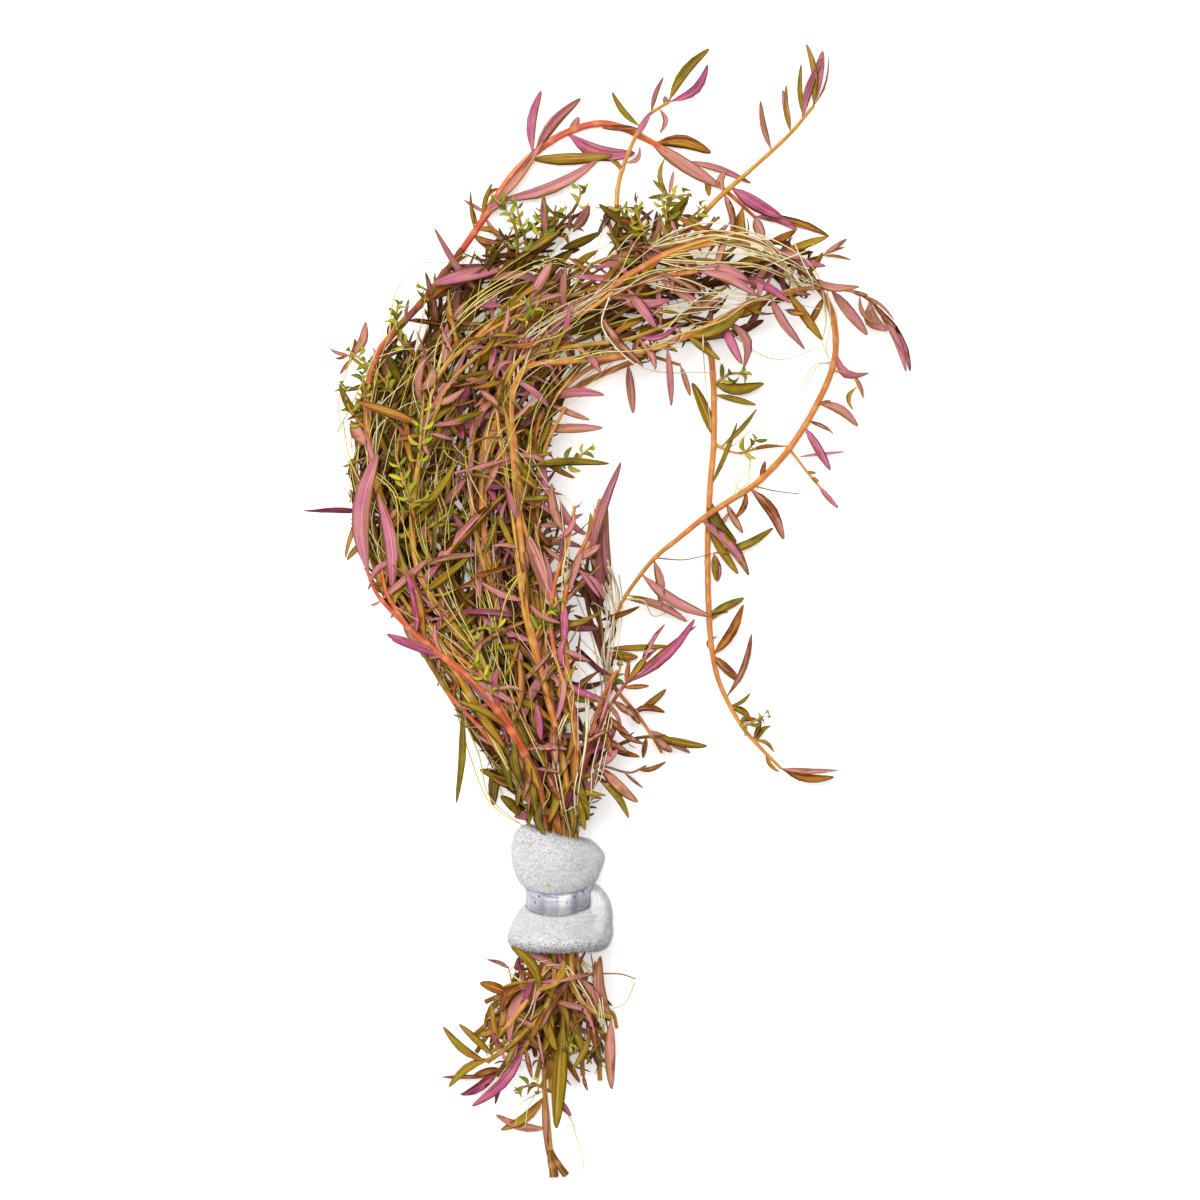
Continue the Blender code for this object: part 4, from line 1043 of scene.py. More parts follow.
ring_spacing = 5.2
visible_share = 0.72
red_from_y = 85
reddening_length = 30
dice = random.Random(11)
slots = {part["node"]: part["material_slot"] for part in frame["record"]["subparts"]}
stems = {}
for name in STEMS:
    stem = Strand(smooth_line(route_points(name)))
    stem.places = []
    stem.twigs = []
    place = 4.0
    while place < stem.total - 1.5:
        stem.places.append(place)
        place += ring_spacing * dice.uniform(0.8, 1.2)
    stem.shoots = side_shoots(stem)
    stem.slot = slots[name]
    stem.tint, stem.leaf_tints = PLANT_TINTS[stem.slot]
    stems[name] = stem

for passed, first_radius, last_radius, tint in TWIGS:
    spots = [seen_at(*place) for place in passed]
    name, root = nearest_stem(*spots[0].xy)
    for i, spot in enumerate(spots):
        spot.z = root.z + (spot.z - root.z) * i / (len(spots) - 1)
    twig = Strand(smooth_line([root] + spots[1:]))
    twig.places = every(5, 3.5, twig.total - 0.5)
    twig.radii = (first_radius, last_radius)
    twig.tint = tint
    stems[name].twigs.append(twig)

for name, stem in stems.items():
    widest = STEMS[name]["radius"]
    thick, ring = ringed(stem, lambda length: stem_radius(stem, widest, length) * visible_share)
    low_tint = STEMS[name].get("low_tint", stem.tint)
    reddening = [held((point.y - red_from_y) / reddening_length) for point in stem.line]
    tubes = [(stem.line, thick, ring, [low_tint + (stem.tint - low_tint) * share for share in reddening])]
    for shoot in stem.shoots:
        thick, ring = ringed(shoot, taper(shoot, 0.6, 0.35))
        tubes.append((shoot.line, thick, ring, [stem.tint + dice.uniform(-0.3, 0.1)] * len(thick)))
    for twig in stem.twigs:
        thick, ring = ringed(twig, taper(twig, *twig.radii))
        tubes.append((twig.line, thick, ring, [twig.tint] * len(thick)))
    lines = strands_mesh(name + "_stalk", tubes)
    sizes = {"Lowest": 0.0, "Sides": 10, "Coat": stalk.material}
    stalks = tube_growth.grow(name + "_stalk", lines, sizes)
    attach(stalks, "root")
    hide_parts(name)

# The leaves
# Thin lance-shaped blades, grown in opposite pairs from the rings of the stems. They are olive
# above and pink to purple below, and many are bent, folded or twisted so that both sides show.
blade_stations = (0.0, 0.07, 0.2, 0.36, 0.54, 0.72, 0.87, 0.96, 1.0)
blade_widths = (0.16, 0.24, 0.68, 0.95, 1.0, 0.88, 0.62, 0.38, 0.14)
blade_width = 0.16


def blade(name, arch, sweep, twist, crease, wave):
    """A closed thin blade, one unit long, as the shape to repeat."""
    shape = bmesh.new()
    uv = shape.loops.layers.uv.new("UVMap")
    rings, places = [], {}
    for along, wide in zip(blade_stations, blade_widths):
        middle = Vector((sweep * math.sin(math.pi * along), along, arch * math.sin(math.pi * along * 0.9)))
        turn = Matrix.Rotation(twist * along, 3, "Y")
        ring = []
        for across, over in ((-1, 0), (-0.5, 0.4), (0, 0), (0.5, 0.4), (1, 0), (0, -1)):
            ruffle = wave * math.sin(14 * along + 2 * across) * abs(across)
            height = crease * abs(across) * wide * 0.08 + ruffle + over * 0.008
            offset = turn @ Vector((across * wide * blade_width / 2, 0, height))
            vert = shape.verts.new(middle + offset)
            places[vert] = ((across + 1) / 2, along)
            ring.append(vert)
        rings.append(ring)
    for near, far in zip(rings, rings[1:]):
        for i in range(6):
            face = shape.faces.new((near[i], far[i], far[i - 1], near[i - 1]))
            face.material_index = 1 if i in (0, 5) else 0
    shape.faces.new(rings[0])
    shape.faces.new(reversed(rings[-1]))
    bmesh.ops.recalc_face_normals(shape, faces=shape.faces)
    for face in shape.faces:
        for loop in face.loops:
            u, v = places[loop.vert]
            loop[uv].uv = (u + 2 * face.material_index, v)
        face.material_index = 0
    made = bpy.data.objects.new(name, as_mesh(name, shape))
    blades.objects.link(made)


blades = bpy.data.collections.new("blade_shapes")
bpy.context.scene.collection.children.link(blades)

# Each blade: its arch, its sweep to the right, its twist, its crease and its wave.
BLADES = {
    "blade_0_flat": (0.03, 0.01, 0.15, 0.25, 0.003),
    "blade_1_bent_right": (0.06, 0.09, -0.4, 0.35, 0.004),
    "blade_2_bent_left": (0.05, -0.09, 0.4, 0.35, 0.004),
    "blade_3_hooked_right": (0.04, 0.2, 0.5, 0.4, 0.005),
    "blade_4_hooked_left": (0.04, -0.2, -0.5, 0.4, 0.005),
    "blade_5_twisted": (0.05, 0.05, 2.2, 0.4, 0.006),
    "blade_6_folded": (-0.06, -0.04, -0.8, 1.1, 0.006),
    "blade_7_curled": (0.16, 0.08, 1.4, 0.5, 0.009),
}
for name, bends in BLADES.items():
    blade(name, *bends)

# The tree that sets a blade on each point, turned and sized as that point says.
leaf_growth = Growth("leaves_on_points")
leaf_coat = leaf_growth.size("Coat", "NodeSocketMaterial")
leaf_shapes = leaf_growth.add(
    "GeometryNodeCollectionInfo", None,
    {"Collection": blades, "Separate Children": True, "Reset Children": True})
leaf_turn = leaf_growth.add(
    "FunctionNodeEulerToRotation", None, {0: leaf_growth.named("turn", "FLOAT_VECTOR")})
leaf_set = leaf_growth.add(
    "GeometryNodeInstanceOnPoints", None,
    {"Points": leaf_growth.start, "Instance": leaf_shapes, "Pick Instance": True,
     "Instance Index": leaf_growth.named("kind", "INT"), "Rotation": leaf_turn,
     "Scale": leaf_growth.named("size", "FLOAT_VECTOR")})
leaf_growth.end(leaf_set, leaf_coat)


def blade_finish(name, over, under, rim):
    """The skin of a leaf: streaks, midrib, patches and a rim, on a ground for each of its sides."""
    skin = Finish(name)
    skin.give("Specular IOR Level", 0.1)
    u, v = skin.parts(skin.add("ShaderNodeUVMap", {"uv_map": "UVMap"}))[:2]
    tint = skin.carried("tint")
    is_under = u > 1.5
    u = u - is_under * 2
    out = abs(u - 0.5) * 2
    patch = skin.noise(skin.place(), 190.0, 3.0, 0.6)
    veins = skin.noise(skin.vector(u * 13, v * 0.8, tint * 90), 1.0, 3.0, 0.7)
    fade = skin.noise(skin.vector(u * 1.5, v * 2.6, tint * 50), 1.0, 1.0)
    lot = tint + (patch - 0.5) * 0.3 + (fade - 0.5) * 0.34
    ground = skin.blend(is_under, skin.ramp(lot, over), skin.ramp(lot, under))
    pale = skin.blend(veins.above(0.53, 0.68) * 0.4, ground, (0.88, 0.58, 0.34))
    dim = skin.blend((1 - veins).above(0.52, 0.66) * 0.72, pale, (0.12, 0.022, 0.002))
    rib = (1 - out.above(0.0, 0.14)) * (1 - v * 0.6) * 0.45
    ribbed = skin.blend(rib, dim, (0.80, 0.44, 0.16))
    one_side = (u + (fade - 0.5) * 0.9).above(0.7, 0.82)
    edge = (out + (veins - 0.5) * 0.5).above(0.7, 0.94)
    edged = skin.blend(edge.most(one_side) * 0.68, ribbed, skin.ramp(tint, rim))
    tipped = skin.blend(v.above(0.84, 1.0) * 0.45, edged, (0.24, 0.13, 0.004))
    # Painted shade: deep in the crowd the leaf colour darkens almost to black, mostly painted shade and
    # partly the browner colour of older leaves.
    skin.give("Base Color", skin.blend(skin.carried("depth") * 0.8, tipped, (0.085, 0.02, 0.002)))
    skin.give("Roughness", 0.36 + patch * 0.2)
    skin.bump(veins - rib * 0.8, 0.45, 0.0003)
    return skin


leaf_skin = blade_finish(
    "leaf_skin",
    [(0.0, (0.035, 0.026, 0.001)), (0.12, (0.13, 0.10, 0.002)), (0.25, (0.34, 0.25, 0.004)),
     (0.34, (0.40, 0.19, 0.010)), (0.42, (0.40, 0.12, 0.008)), (0.5, (0.17, 0.028, 0.008)),
     (0.58, (0.52, 0.22, 0.16)), (0.68, (0.58, 0.21, 0.23)), (0.77, (0.53, 0.16, 0.26)),
     (0.87, (0.50, 0.075, 0.23)), (0.96, (0.28, 0.04, 0.16))],
    [(0.0, (0.10, 0.035, 0.006)), (0.12, (0.28, 0.13, 0.02)), (0.25, (0.48, 0.24, 0.05)),
     (0.42, (0.46, 0.15, 0.04)), (0.58, (0.40, 0.22, 0.012)), (0.68, (0.40, 0.28, 0.010)),
     (0.8, (0.42, 0.17, 0.03)), (0.92, (0.44, 0.09, 0.05))],
    [(0.0, (0.06, 0.03, 0.001)), (0.25, (0.20, 0.10, 0.002)), (0.45, (0.09, 0.02, 0.003)),
     (0.6, (0.30, 0.15, 0.006)), (0.75, (0.33, 0.17, 0.010)), (0.9, (0.30, 0.06, 0.03))])


class Blades:
    """The points on which one piece's leaves grow, with how each blade is turned and sized."""

    kinds = {
        "turn": "FLOAT_VECTOR", "size": "FLOAT_VECTOR", "kind": "INT", "tint": "FLOAT", "depth": "FLOAT"}

    def __init__(self):
        self.rows = []

    def add(self, root, tip, width, tint, kind, roll, depth=0.0):
        way = tip - root
        length = way.length
        way = way.normalized()
        side = way.cross(Vector((0, 0, 1)))
        side = side.normalized() if side.length > 0.01 else Vector((1, 0, 0))
        up = side.cross(way).normalized()
        turned = Matrix((side, way, up)).transposed() @ Matrix.Rotation(roll, 3, "Y")
        size = (width * mm / blade_width, length * mm, length * mm)
        self.rows.append((root, tuple(turned.to_euler()), size, kind, tint, depth))

    def mesh(self, name):
        points, *columns = zip(*self.rows)
        mesh = bpy.data.meshes.new(name)
        mesh.from_pydata(to_frame(points), [], [])
        for (key, kind), column in zip(self.kinds.items(), columns):
            value_layer(mesh, key, column, kind)
        return mesh


# The leaves that stand out, as places in the 1200-wide view: the base, the tip, the width, the
# tint from olive 0.2 through brown 0.45 and pink 0.7 to magenta 0.88, and how far the blade
# bends to the right of its way, as a share of its length.
LEAVES = [
    # over the loop at the top
    (527, 149, 541, 91, 9, 0.78, -0.1), (530, 146, 580, 98, 12, 0.7, -0.1),
    (566, 127, 579, 117, 7, 0.6, 0), (566, 132, 635, 153, 15, 0.82, 0.1),
    (531, 162, 612, 155, 12, 0.27, 0), (505, 207, 597, 160, 11, 0.74, 0.1),
    (487, 206, 544, 141, 11, 0.62, 0.1), (493, 181, 483, 206, 4, 0.45, 0.2),
    (639, 128, 612, 92, 6, 0.25, -0.1), (634, 143, 651, 112, 7, 0.8, 0),
    (651, 114, 663, 77, 6, 0.68, -0.1), (672, 100, 709, 49, 9, 0.24, -0.1),
    (673, 102, 708, 65, 9, 0.94, 0.2), (665, 105, 665, 96, 6, 0.6, 0),
    (662, 112, 660, 133, 5, 0.66, -0.2), (659, 134, 711, 152, 14, 0.42, -0.1),
    (638, 130, 602, 128, 6, 0.5, 0), (688, 156, 751, 183, 7, 0.74, -0.1),
    (648, 142, 721, 187, 13, 0.68, 0), (730, 188, 782, 217, 14, 0.84, 0),
    (763, 216, 797, 230, 8, 0.86, 0), (632, 168, 640, 147, 5, 0.66, 0.2),
    (622, 174, 610, 160, 5, 0.3, 0.1), (477, 224, 508, 201, 9, 0.74, 0), (475, 226, 470, 204, 4, 0.45, 0),
    (573, 227, 589, 205, 10, 0.74, 0), (569, 227, 571, 212, 4, 0.7, 0), (544, 231, 544, 195, 8, 0.62, 0),
    (573, 220, 550, 212, 5, 0.2, 0), (663, 230, 689, 195, 9, 0.2, -0.1), (669, 197, 653, 180, 4, 0.22, 0),
    (669, 196, 665, 158, 5, 0.24, -0.2), (669, 195, 648, 198, 4, 0.2, 0),
    (668, 180, 674, 171, 4, 0.66, 0), (697, 192, 709, 196, 6, 0.3, 0), (471, 228, 470, 191, 4, 0.4, -0.1),
    (478, 216, 492, 183, 5, 0.3, -0.1), (485, 212, 464, 200, 4, 0.66, 0),
    (492, 221, 505, 244, 5, 0.64, 0), (474, 228, 503, 236, 6, 0.3, -0.1), (478, 240, 501, 255, 6, 0.2, 0),
    (468, 232, 500, 243, 8, 0.44, 0.1),
    # towards the top right corner
    (773, 152, 760, 101, 7, 0.62, -0.1), (792, 134, 783, 90, 6, 0.66, 0),
    (792, 134, 786, 85, 5, 0.22, -0.1), (802, 116, 801, 64, 5, 0.22, -0.1),
    (801, 118, 822, 58, 9, 0.78, -0.1), (814, 106, 823, 51, 10, 0.78, 0),
    (815, 84, 806, 44, 6, 0.28, 0.1), (824, 89, 828, 56, 3, 0.76, 0.2), (724, 196, 726, 170, 8, 0.62, 0),
    (724, 196, 731, 234, 8, 0.6, 0), (740, 211, 751, 252, 12, 0.26, 0.1),
    (788, 222, 829, 236, 10, 0.42, 0), (785, 246, 828, 237, 8, 0.34, 0),
    (753, 218, 764, 238, 10, 0.62, 0), (767, 243, 796, 230, 8, 0.4, 0), (823, 254, 847, 239, 5, 0.56, 0),
    (825, 251, 845, 247, 3, 0.5, 0), (823, 260, 851, 260, 3, 0.34, 0), (814, 266, 823, 252, 6, 0.28, 0),
    (782, 247, 803, 258, 8, 0.72, 0), (790, 256, 826, 266, 7, 0.8, 0), (729, 243, 716, 269, 7, 0.56, 0),
    # down the right arc and on the pink tip
    (773, 299, 804, 350, 11, 0.68, 0), (791, 315, 822, 340, 9, 0.32, 0),
    (829, 289, 867, 335, 11, 0.67, 0), (869, 300, 887, 331, 13, 0.64, 0.1),
    (882, 320, 910, 371, 10, 0.84, 0), (884, 324, 906, 372, 6, 0.72, 0), (873, 300, 894, 327, 5, 0.5, 0),
    (860, 291, 894, 320, 3, 0.6, -0.2), (855, 302, 879, 325, 5, 0.62, 0.2),
    (811, 275, 860, 287, 8, 0.58, 0.1), (700, 269, 748, 280, 11, 0.75, -0.1),
    (740, 279, 791, 303, 8, 0.86, -0.1), (741, 281, 758, 300, 10, 0.75, -0.2),
    (722, 321, 742, 371, 11, 0.7, -0.2), (770, 271, 791, 278, 5, 0.22, 0),
    (786, 308, 806, 314, 6, 0.42, 0), (816, 303, 807, 328, 7, 0.45, 0),
    (835, 352, 869, 373, 9, 0.82, 0.2), (853, 374, 863, 397, 5, 0.7, 0),
    (854, 388, 853, 410, 5, 0.3, 0.2), (820, 404, 858, 426, 9, 0.62, -0.1),
    (803, 400, 832, 401, 3, 0.5, 0), (813, 424, 833, 434, 4, 0.52, 0), (811, 430, 830, 470, 9, 0.8, 0),
    (801, 453, 845, 452, 3, 0.7, 0), (846, 305, 868, 295, 5, 0.56, 0), (749, 489, 784, 539, 11, 0.54, 0),
    (749, 495, 735, 518, 6, 0.44, -0.1), (749, 454, 782, 446, 4, 0.4, -0.1),
    (754, 472, 765, 461, 5, 0.5, 0), (818, 485, 838, 508, 5, 0.78, 0), (808, 471, 816, 473, 3, 0.3, 0),
    (811, 477, 819, 482, 4, 0.28, 0), (702, 523, 749, 575, 13, 0.74, 0), (704, 528, 738, 574, 8, 0.24, 0),
    (655, 561, 661, 608, 10, 0.6, -0.1), (668, 594, 711, 617, 11, 0.7, 0.1),
    (629, 603, 687, 622, 8, 0.62, -0.1), (640, 604, 680, 614, 5, 0.26, 0),
    (622, 646, 669, 646, 6, 0.34, 0),
    # on the hanging stem
    (716, 384, 764, 384, 12, 0.19, 0.1), (712, 438, 692, 383, 11, 0.2, 0),
    (756, 392, 756, 405, 6, 0.22, 0), (723, 443, 757, 409, 5, 0.18, 0.1),
    (715, 488, 737, 422, 5, 0.18, 0), (711, 499, 736, 543, 13, 0.14, 0), (739, 552, 773, 528, 8, 0.22, 0),
    (736, 560, 752, 545, 6, 0.26, 0.1), (716, 556, 716, 581, 7, 0.2, 0), (722, 561, 717, 582, 6, 0.84, 0),
    (717, 532, 729, 513, 5, 0.68, 0), (736, 519, 743, 533, 7, 0.58, 0), (714, 614, 744, 598, 8, 0.2, 0),
    (715, 621, 728, 612, 7, 0.18, 0), (720, 653, 744, 605, 11, 0.46, 0.1),
    (721, 654, 740, 682, 9, 0.5, 0), (740, 692, 751, 634, 6, 0.56, 0.1),
    (719, 652, 718, 636, 5, 0.45, -0.2), (738, 702, 750, 693, 4, 0.22, 0.1),
    (726, 708, 750, 721, 7, 0.18, 0), (747, 715, 761, 721, 5, 0.4, 0), (755, 737, 761, 720, 5, 0.5, 0),
    (759, 737, 771, 726, 6, 0.2, 0), (771, 723, 774, 752, 4, 0.3, -0.2),
    (763, 756, 779, 772, 4, 0.2, 0.1), (780, 769, 838, 771, 7, 0.6, 0.1),
    (783, 772, 834, 777, 8, 0.4, 0.1),
    # on the right of the lower mass
    (629, 686, 694, 619, 8, 0.9, 0.1), (632, 686, 697, 626, 4, 0.45, 0), (643, 670, 665, 624, 6, 0.76, 0),
    (632, 683, 657, 649, 6, 0.86, 0), (621, 681, 647, 657, 6, 0.36, 0), (619, 678, 629, 661, 5, 0.42, 0),
    (622, 650, 638, 657, 9, 0.4, 0), (629, 691, 649, 686, 5, 0.45, 0), (640, 710, 666, 689, 7, 0.36, 0),
    (630, 713, 665, 712, 7, 0.52, -0.1), (656, 739, 707, 746, 9, 0.24, 0),
    (654, 739, 672, 752, 8, 0.58, 0), (656, 724, 690, 753, 7, 0.72, 0), (645, 732, 643, 758, 5, 0.45, 0),
    (638, 769, 666, 762, 5, 0.45, 0.1), (600, 775, 638, 802, 11, 0.58, 0),
    (600, 782, 629, 818, 7, 0.2, -0.1), (622, 775, 643, 788, 3, 0.5, 0), (600, 760, 618, 750, 8, 0.76, 0),
    (605, 715, 630, 735, 8, 0.5, 0), (612, 700, 634, 716, 7, 0.5, 0), (600, 735, 628, 752, 8, 0.5, 0),
    (610, 748, 640, 757, 6, 0.48, 0), (615, 725, 645, 745, 6, 0.5, 0.1), (602, 720, 612, 757, 8, 0.52, 0),
    (625, 705, 640, 724, 7, 0.5, 0),
    # over the neck above the pad
    (562, 780, 549, 822, 8, 0.36, 0), (568, 785, 606, 796, 7, 0.24, 0.1),
    (486, 772, 494, 805, 11, 0.12, 0), (521, 800, 528, 826, 8, 0.14, -0.1),
    (568, 795, 571, 838, 9, 0.16, 0), (575, 820, 577, 840, 6, 0.14, 0),
    (538, 800, 545, 835, 9, 0.12, 0.1), (522, 765, 536, 812, 9, 0.16, 0),
    (508, 740, 524, 790, 9, 0.14, 0), (552, 760, 560, 800, 9, 0.5, 0), (545, 720, 556, 765, 9, 0.5, 0),
    (530, 745, 540, 790, 8, 0.34, 0), (583, 760, 588, 805, 9, 0.14, 0), (590, 790, 585, 830, 8, 0.2, 0),
    (515, 700, 528, 745, 9, 0.12, 0), (498, 745, 512, 790, 8, 0.1, 0), (570, 740, 575, 785, 9, 0.44, 0),
    (536, 700, 541, 740, 8, 0.86, 0), (505, 770, 516, 806, 8, 0.2, 0), (556, 800, 560, 838, 8, 0.4, 0),
    # at the left edge
    (476, 286, 434, 228, 7, 0.66, -0.1), (502, 261, 433, 285, 14, 0.72, 0),
    (462, 281, 428, 301, 9, 0.4, 0), (431, 332, 425, 272, 8, 0.62, 0), (431, 333, 421, 358, 7, 0.64, 0),
    (458, 358, 442, 324, 6, 0.62, 0), (350, 358, 366, 322, 9, 0.56, 0.1), (350, 355, 355, 339, 6, 0.4, 0),
    (347, 359, 330, 348, 4, 0.74, 0), (344, 362, 335, 358, 3, 0.5, 0), (349, 362, 340, 374, 4, 0.56, 0),
    (381, 386, 346, 391, 6, 0.18, 0.1), (372, 421, 339, 384, 8, 0.2, -0.1),
    (402, 384, 386, 354, 9, 0.08, 0), (431, 414, 458, 378, 9, 0.72, 0), (441, 405, 465, 389, 8, 0.7, 0),
    (460, 414, 470, 384, 12, 0.86, 0), (468, 439, 499, 390, 10, 0.9, 0),
    (456, 408, 463, 439, 10, 0.86, 0), (482, 350, 516, 330, 8, 0.66, 0), (476, 364, 494, 350, 8, 0.24, 0),
    (503, 286, 493, 322, 5, 0.72, 0.1), (468, 301, 502, 306, 7, 0.84, 0),
    (497, 330, 519, 295, 12, 0.2, 0), (419, 391, 433, 365, 11, 0.54, 0),
    (350, 420, 366, 445, 12, 0.58, 0), (352, 512, 303, 510, 7, 0.96, 0.1),
    (371, 576, 378, 454, 17, 0.76, -0.1), (392, 593, 378, 493, 13, 0.78, 0.1),
    (387, 528, 381, 484, 9, 0.28, 0), (392, 530, 412, 500, 10, 0.4, 0), (392, 532, 416, 524, 6, 0.3, 0.2),
    (415, 597, 507, 492, 14, 0.74, 0), (410, 600, 470, 555, 8, 0.26, 0), (524, 527, 560, 616, 15, 0.7, 0),
    (438, 659, 387, 634, 9, 0.88, 0), (442, 662, 392, 640, 7, 0.88, 0),
    (416, 633, 406, 571, 9, 0.84, 0.1), (425, 640, 412, 572, 9, 0.42, 0.1),
    (430, 545, 433, 515, 8, 0.6, 0), (432, 509, 466, 479, 8, 0.64, 0), (352, 545, 347, 560, 6, 0.3, 0),
    (355, 515, 346, 558, 6, 0.42, 0), (478, 560, 480, 600, 8, 0.66, 0),
    (462, 710, 457, 803, 8, 0.14, -0.1), (460, 658, 438, 652, 6, 0.2, 0),
    (480, 665, 460, 640, 8, 0.14, 0), (492, 800, 480, 770, 9, 0.2, 0), (523, 818, 500, 796, 10, 0.16, 0),
    (495, 720, 498, 668, 9, 0.84, 0),
    # over the arch and at the bay
    (670, 350, 671, 406, 7, 0.68, 0), (688, 370, 690, 396, 6, 0.68, 0), (633, 377, 633, 413, 8, 0.66, 0),
    (722, 319, 742, 364, 9, 0.84, 0), (658, 278, 702, 307, 10, 0.72, 0),
    (626, 286, 656, 328, 11, 0.76, 0), (601, 316, 643, 367, 9, 0.52, 0), (658, 232, 689, 197, 8, 0.2, 0),
    (698, 269, 759, 296, 10, 0.72, -0.1), (535, 395, 605, 395, 9, 0.72, -0.1),
    (540, 430, 603, 428, 9, 0.6, 0), (545, 400, 590, 420, 6, 0.56, 0), (530, 466, 609, 463, 9, 0.2, -0.1),
    (548, 460, 575, 478, 6, 0.42, 0), (590, 560, 620, 462, 12, 0.72, -0.1),
    (595, 600, 606, 520, 12, 0.74, 0), (612, 590, 606, 500, 8, 0.72, 0),
    (560, 500, 585, 535, 8, 0.8, 0.1), (575, 560, 600, 545, 9, 0.7, 0), (520, 500, 552, 498, 6, 0.18, 0),
    (585, 545, 570, 590, 8, 0.7, 0), (560, 600, 566, 640, 9, 0.84, 0), (548, 610, 527, 645, 9, 0.86, 0),
    (600, 620, 640, 606, 6, 0.42, 0), (530, 300, 552, 262, 11, 0.7, 0), (548, 285, 562, 268, 8, 0.72, 0),
    (570, 262, 598, 250, 7, 0.36, 0), (600, 250, 640, 262, 9, 0.12, 0), (560, 245, 600, 232, 9, 0.1, 0),
    (520, 244, 560, 232, 9, 0.14, 0), (610, 238, 650, 235, 8, 0.16, 0), (545, 330, 575, 300, 8, 0.7, 0),
    (560, 355, 545, 330, 8, 0.66, 0), (575, 345, 600, 375, 8, 0.7, 0), (600, 340, 625, 360, 8, 0.66, 0),
    (580, 375, 565, 345, 6, 0.5, 0), (690, 340, 720, 360, 7, 0.2, 0), (640, 340, 655, 370, 7, 0.6, 0),
    # in the tail below the pad
    (540, 980, 511, 946, 10, 0.2, 0), (561, 969, 525, 951, 8, 0.72, 0), (559, 963, 557, 950, 5, 0.84, 0),
    (523, 970, 518, 957, 8, 0.86, 0), (491, 1054, 449, 1087, 8, 0.27, 0.1),
    (510, 968, 487, 959, 5, 0.62, 0.1), (511, 993, 480, 983, 10, 0.37, 0),
    (523, 976, 500, 1012, 12, 0.42, 0.1), (505, 1005, 497, 1032, 9, 0.4, -0.1),
    (505, 1023, 478, 1036, 8, 0.3, 0), (493, 1046, 491, 1003, 6, 0.26, 0),
    (481, 1059, 443, 1027, 8, 0.36, -0.1), (491, 1049, 459, 1024, 7, 0.3, 0),
    (526, 1046, 472, 1106, 10, 0.86, -0.1), (496, 1069, 460, 1094, 9, 0.94, 0),
    (467, 1089, 442, 1077, 4, 0.5, 0), (496, 1068, 473, 1076, 7, 0.45, 0),
    (518, 1069, 495, 1104, 6, 0.42, 0.1), (529, 1049, 532, 1078, 5, 0.5, 0),
    (529, 1043, 508, 1054, 5, 0.96, 0), (559, 1019, 556, 1128, 14, 0.25, 0),
    (544, 1088, 548, 1157, 6, 0.62, 0), (549, 1131, 496, 1115, 8, 0.64, -0.1),
    (543, 1099, 501, 1130, 9, 0.36, -0.1), (556, 1092, 571, 1116, 7, 0.82, 0),
    (569, 1064, 563, 1079, 6, 0.42, 0), (614, 1010, 600, 956, 11, 0.58, -0.1),
    (610, 1018, 612, 1089, 11, 0.62, 0), (597, 1006, 578, 961, 9, 0.66, 0),
    (569, 990, 589, 1013, 5, 0.8, 0), (586, 1074, 588, 1091, 4, 0.5, 0),
    (576, 1049, 592, 1046, 4, 0.14, 0), (596, 1046, 607, 1063, 6, 0.08, 0),
    (523, 1003, 533, 978, 7, 0.96, 0), (523, 1019, 537, 1036, 7, 0.76, 0),
    (564, 976, 533, 1005, 5, 0.7, 0.2), (510, 1006, 525, 1021, 8, 0.16, 0),
    (540, 1010, 556, 1050, 9, 0.3, 0), (545, 1000, 530, 1040, 8, 0.42, 0),
    (575, 1010, 566, 1050, 8, 0.36, 0), (585, 1010, 596, 1050, 7, 0.42, 0),
    (552, 1040, 546, 1080, 8, 0.4, 0), (535, 960, 530, 1000, 8, 0.86, 0),
    (595, 960, 600, 1000, 8, 0.2, 0), (584, 955, 592, 1000, 6, 0.14, 0),
    (570, 1020, 590, 1062, 8, 0.2, 0),
]


def tilted(limit):
    """A small random roll, at most the limit either way, in radians."""
    return dice.uniform(-limit, limit)


leaf_pixel_mm = 0.25
stem_blades = {name: Blades() for name in stems}
bend_kinds = {-0.2: 4, -0.1: 2, 0: 0, 0.1: 1, 0.2: 3}
for base_px, base_py, tip_px, tip_py, width_px, tint, bend in LEAVES:
    base = seen_at(base_px, base_py)
    is_crowded = in_crowd(base)
    name, root = nearest_stem(base.x, base.y, 1.0 if is_crowded else 0.2)
    if is_crowded and (root.xy - base.xy).length > 2.5:
        root.xy = base.xy
    rise = dice.uniform(0.5, 2.5) if is_crowded else dice.uniform(-0.6, 1.0)
    tip_height = held(root.z + rise, 0.9, 20.6)
    if is_crowded and root.y > 0:
        tip_height = max(tip_height, 14 + dice.uniform(0, 5))
    tip = seen_at(tip_px, tip_py, tip_height)
    kind = bend_kinds[bend] if bend or dice.random() < 0.6 else dice.choice((6, 0, 1, 2))
    stem_blades[name].add(root, tip, width_px * leaf_pixel_mm, tint + tilted(0.03), kind, tilted(0.5))


shortest_leaf = 6
tousled_share = 0.45


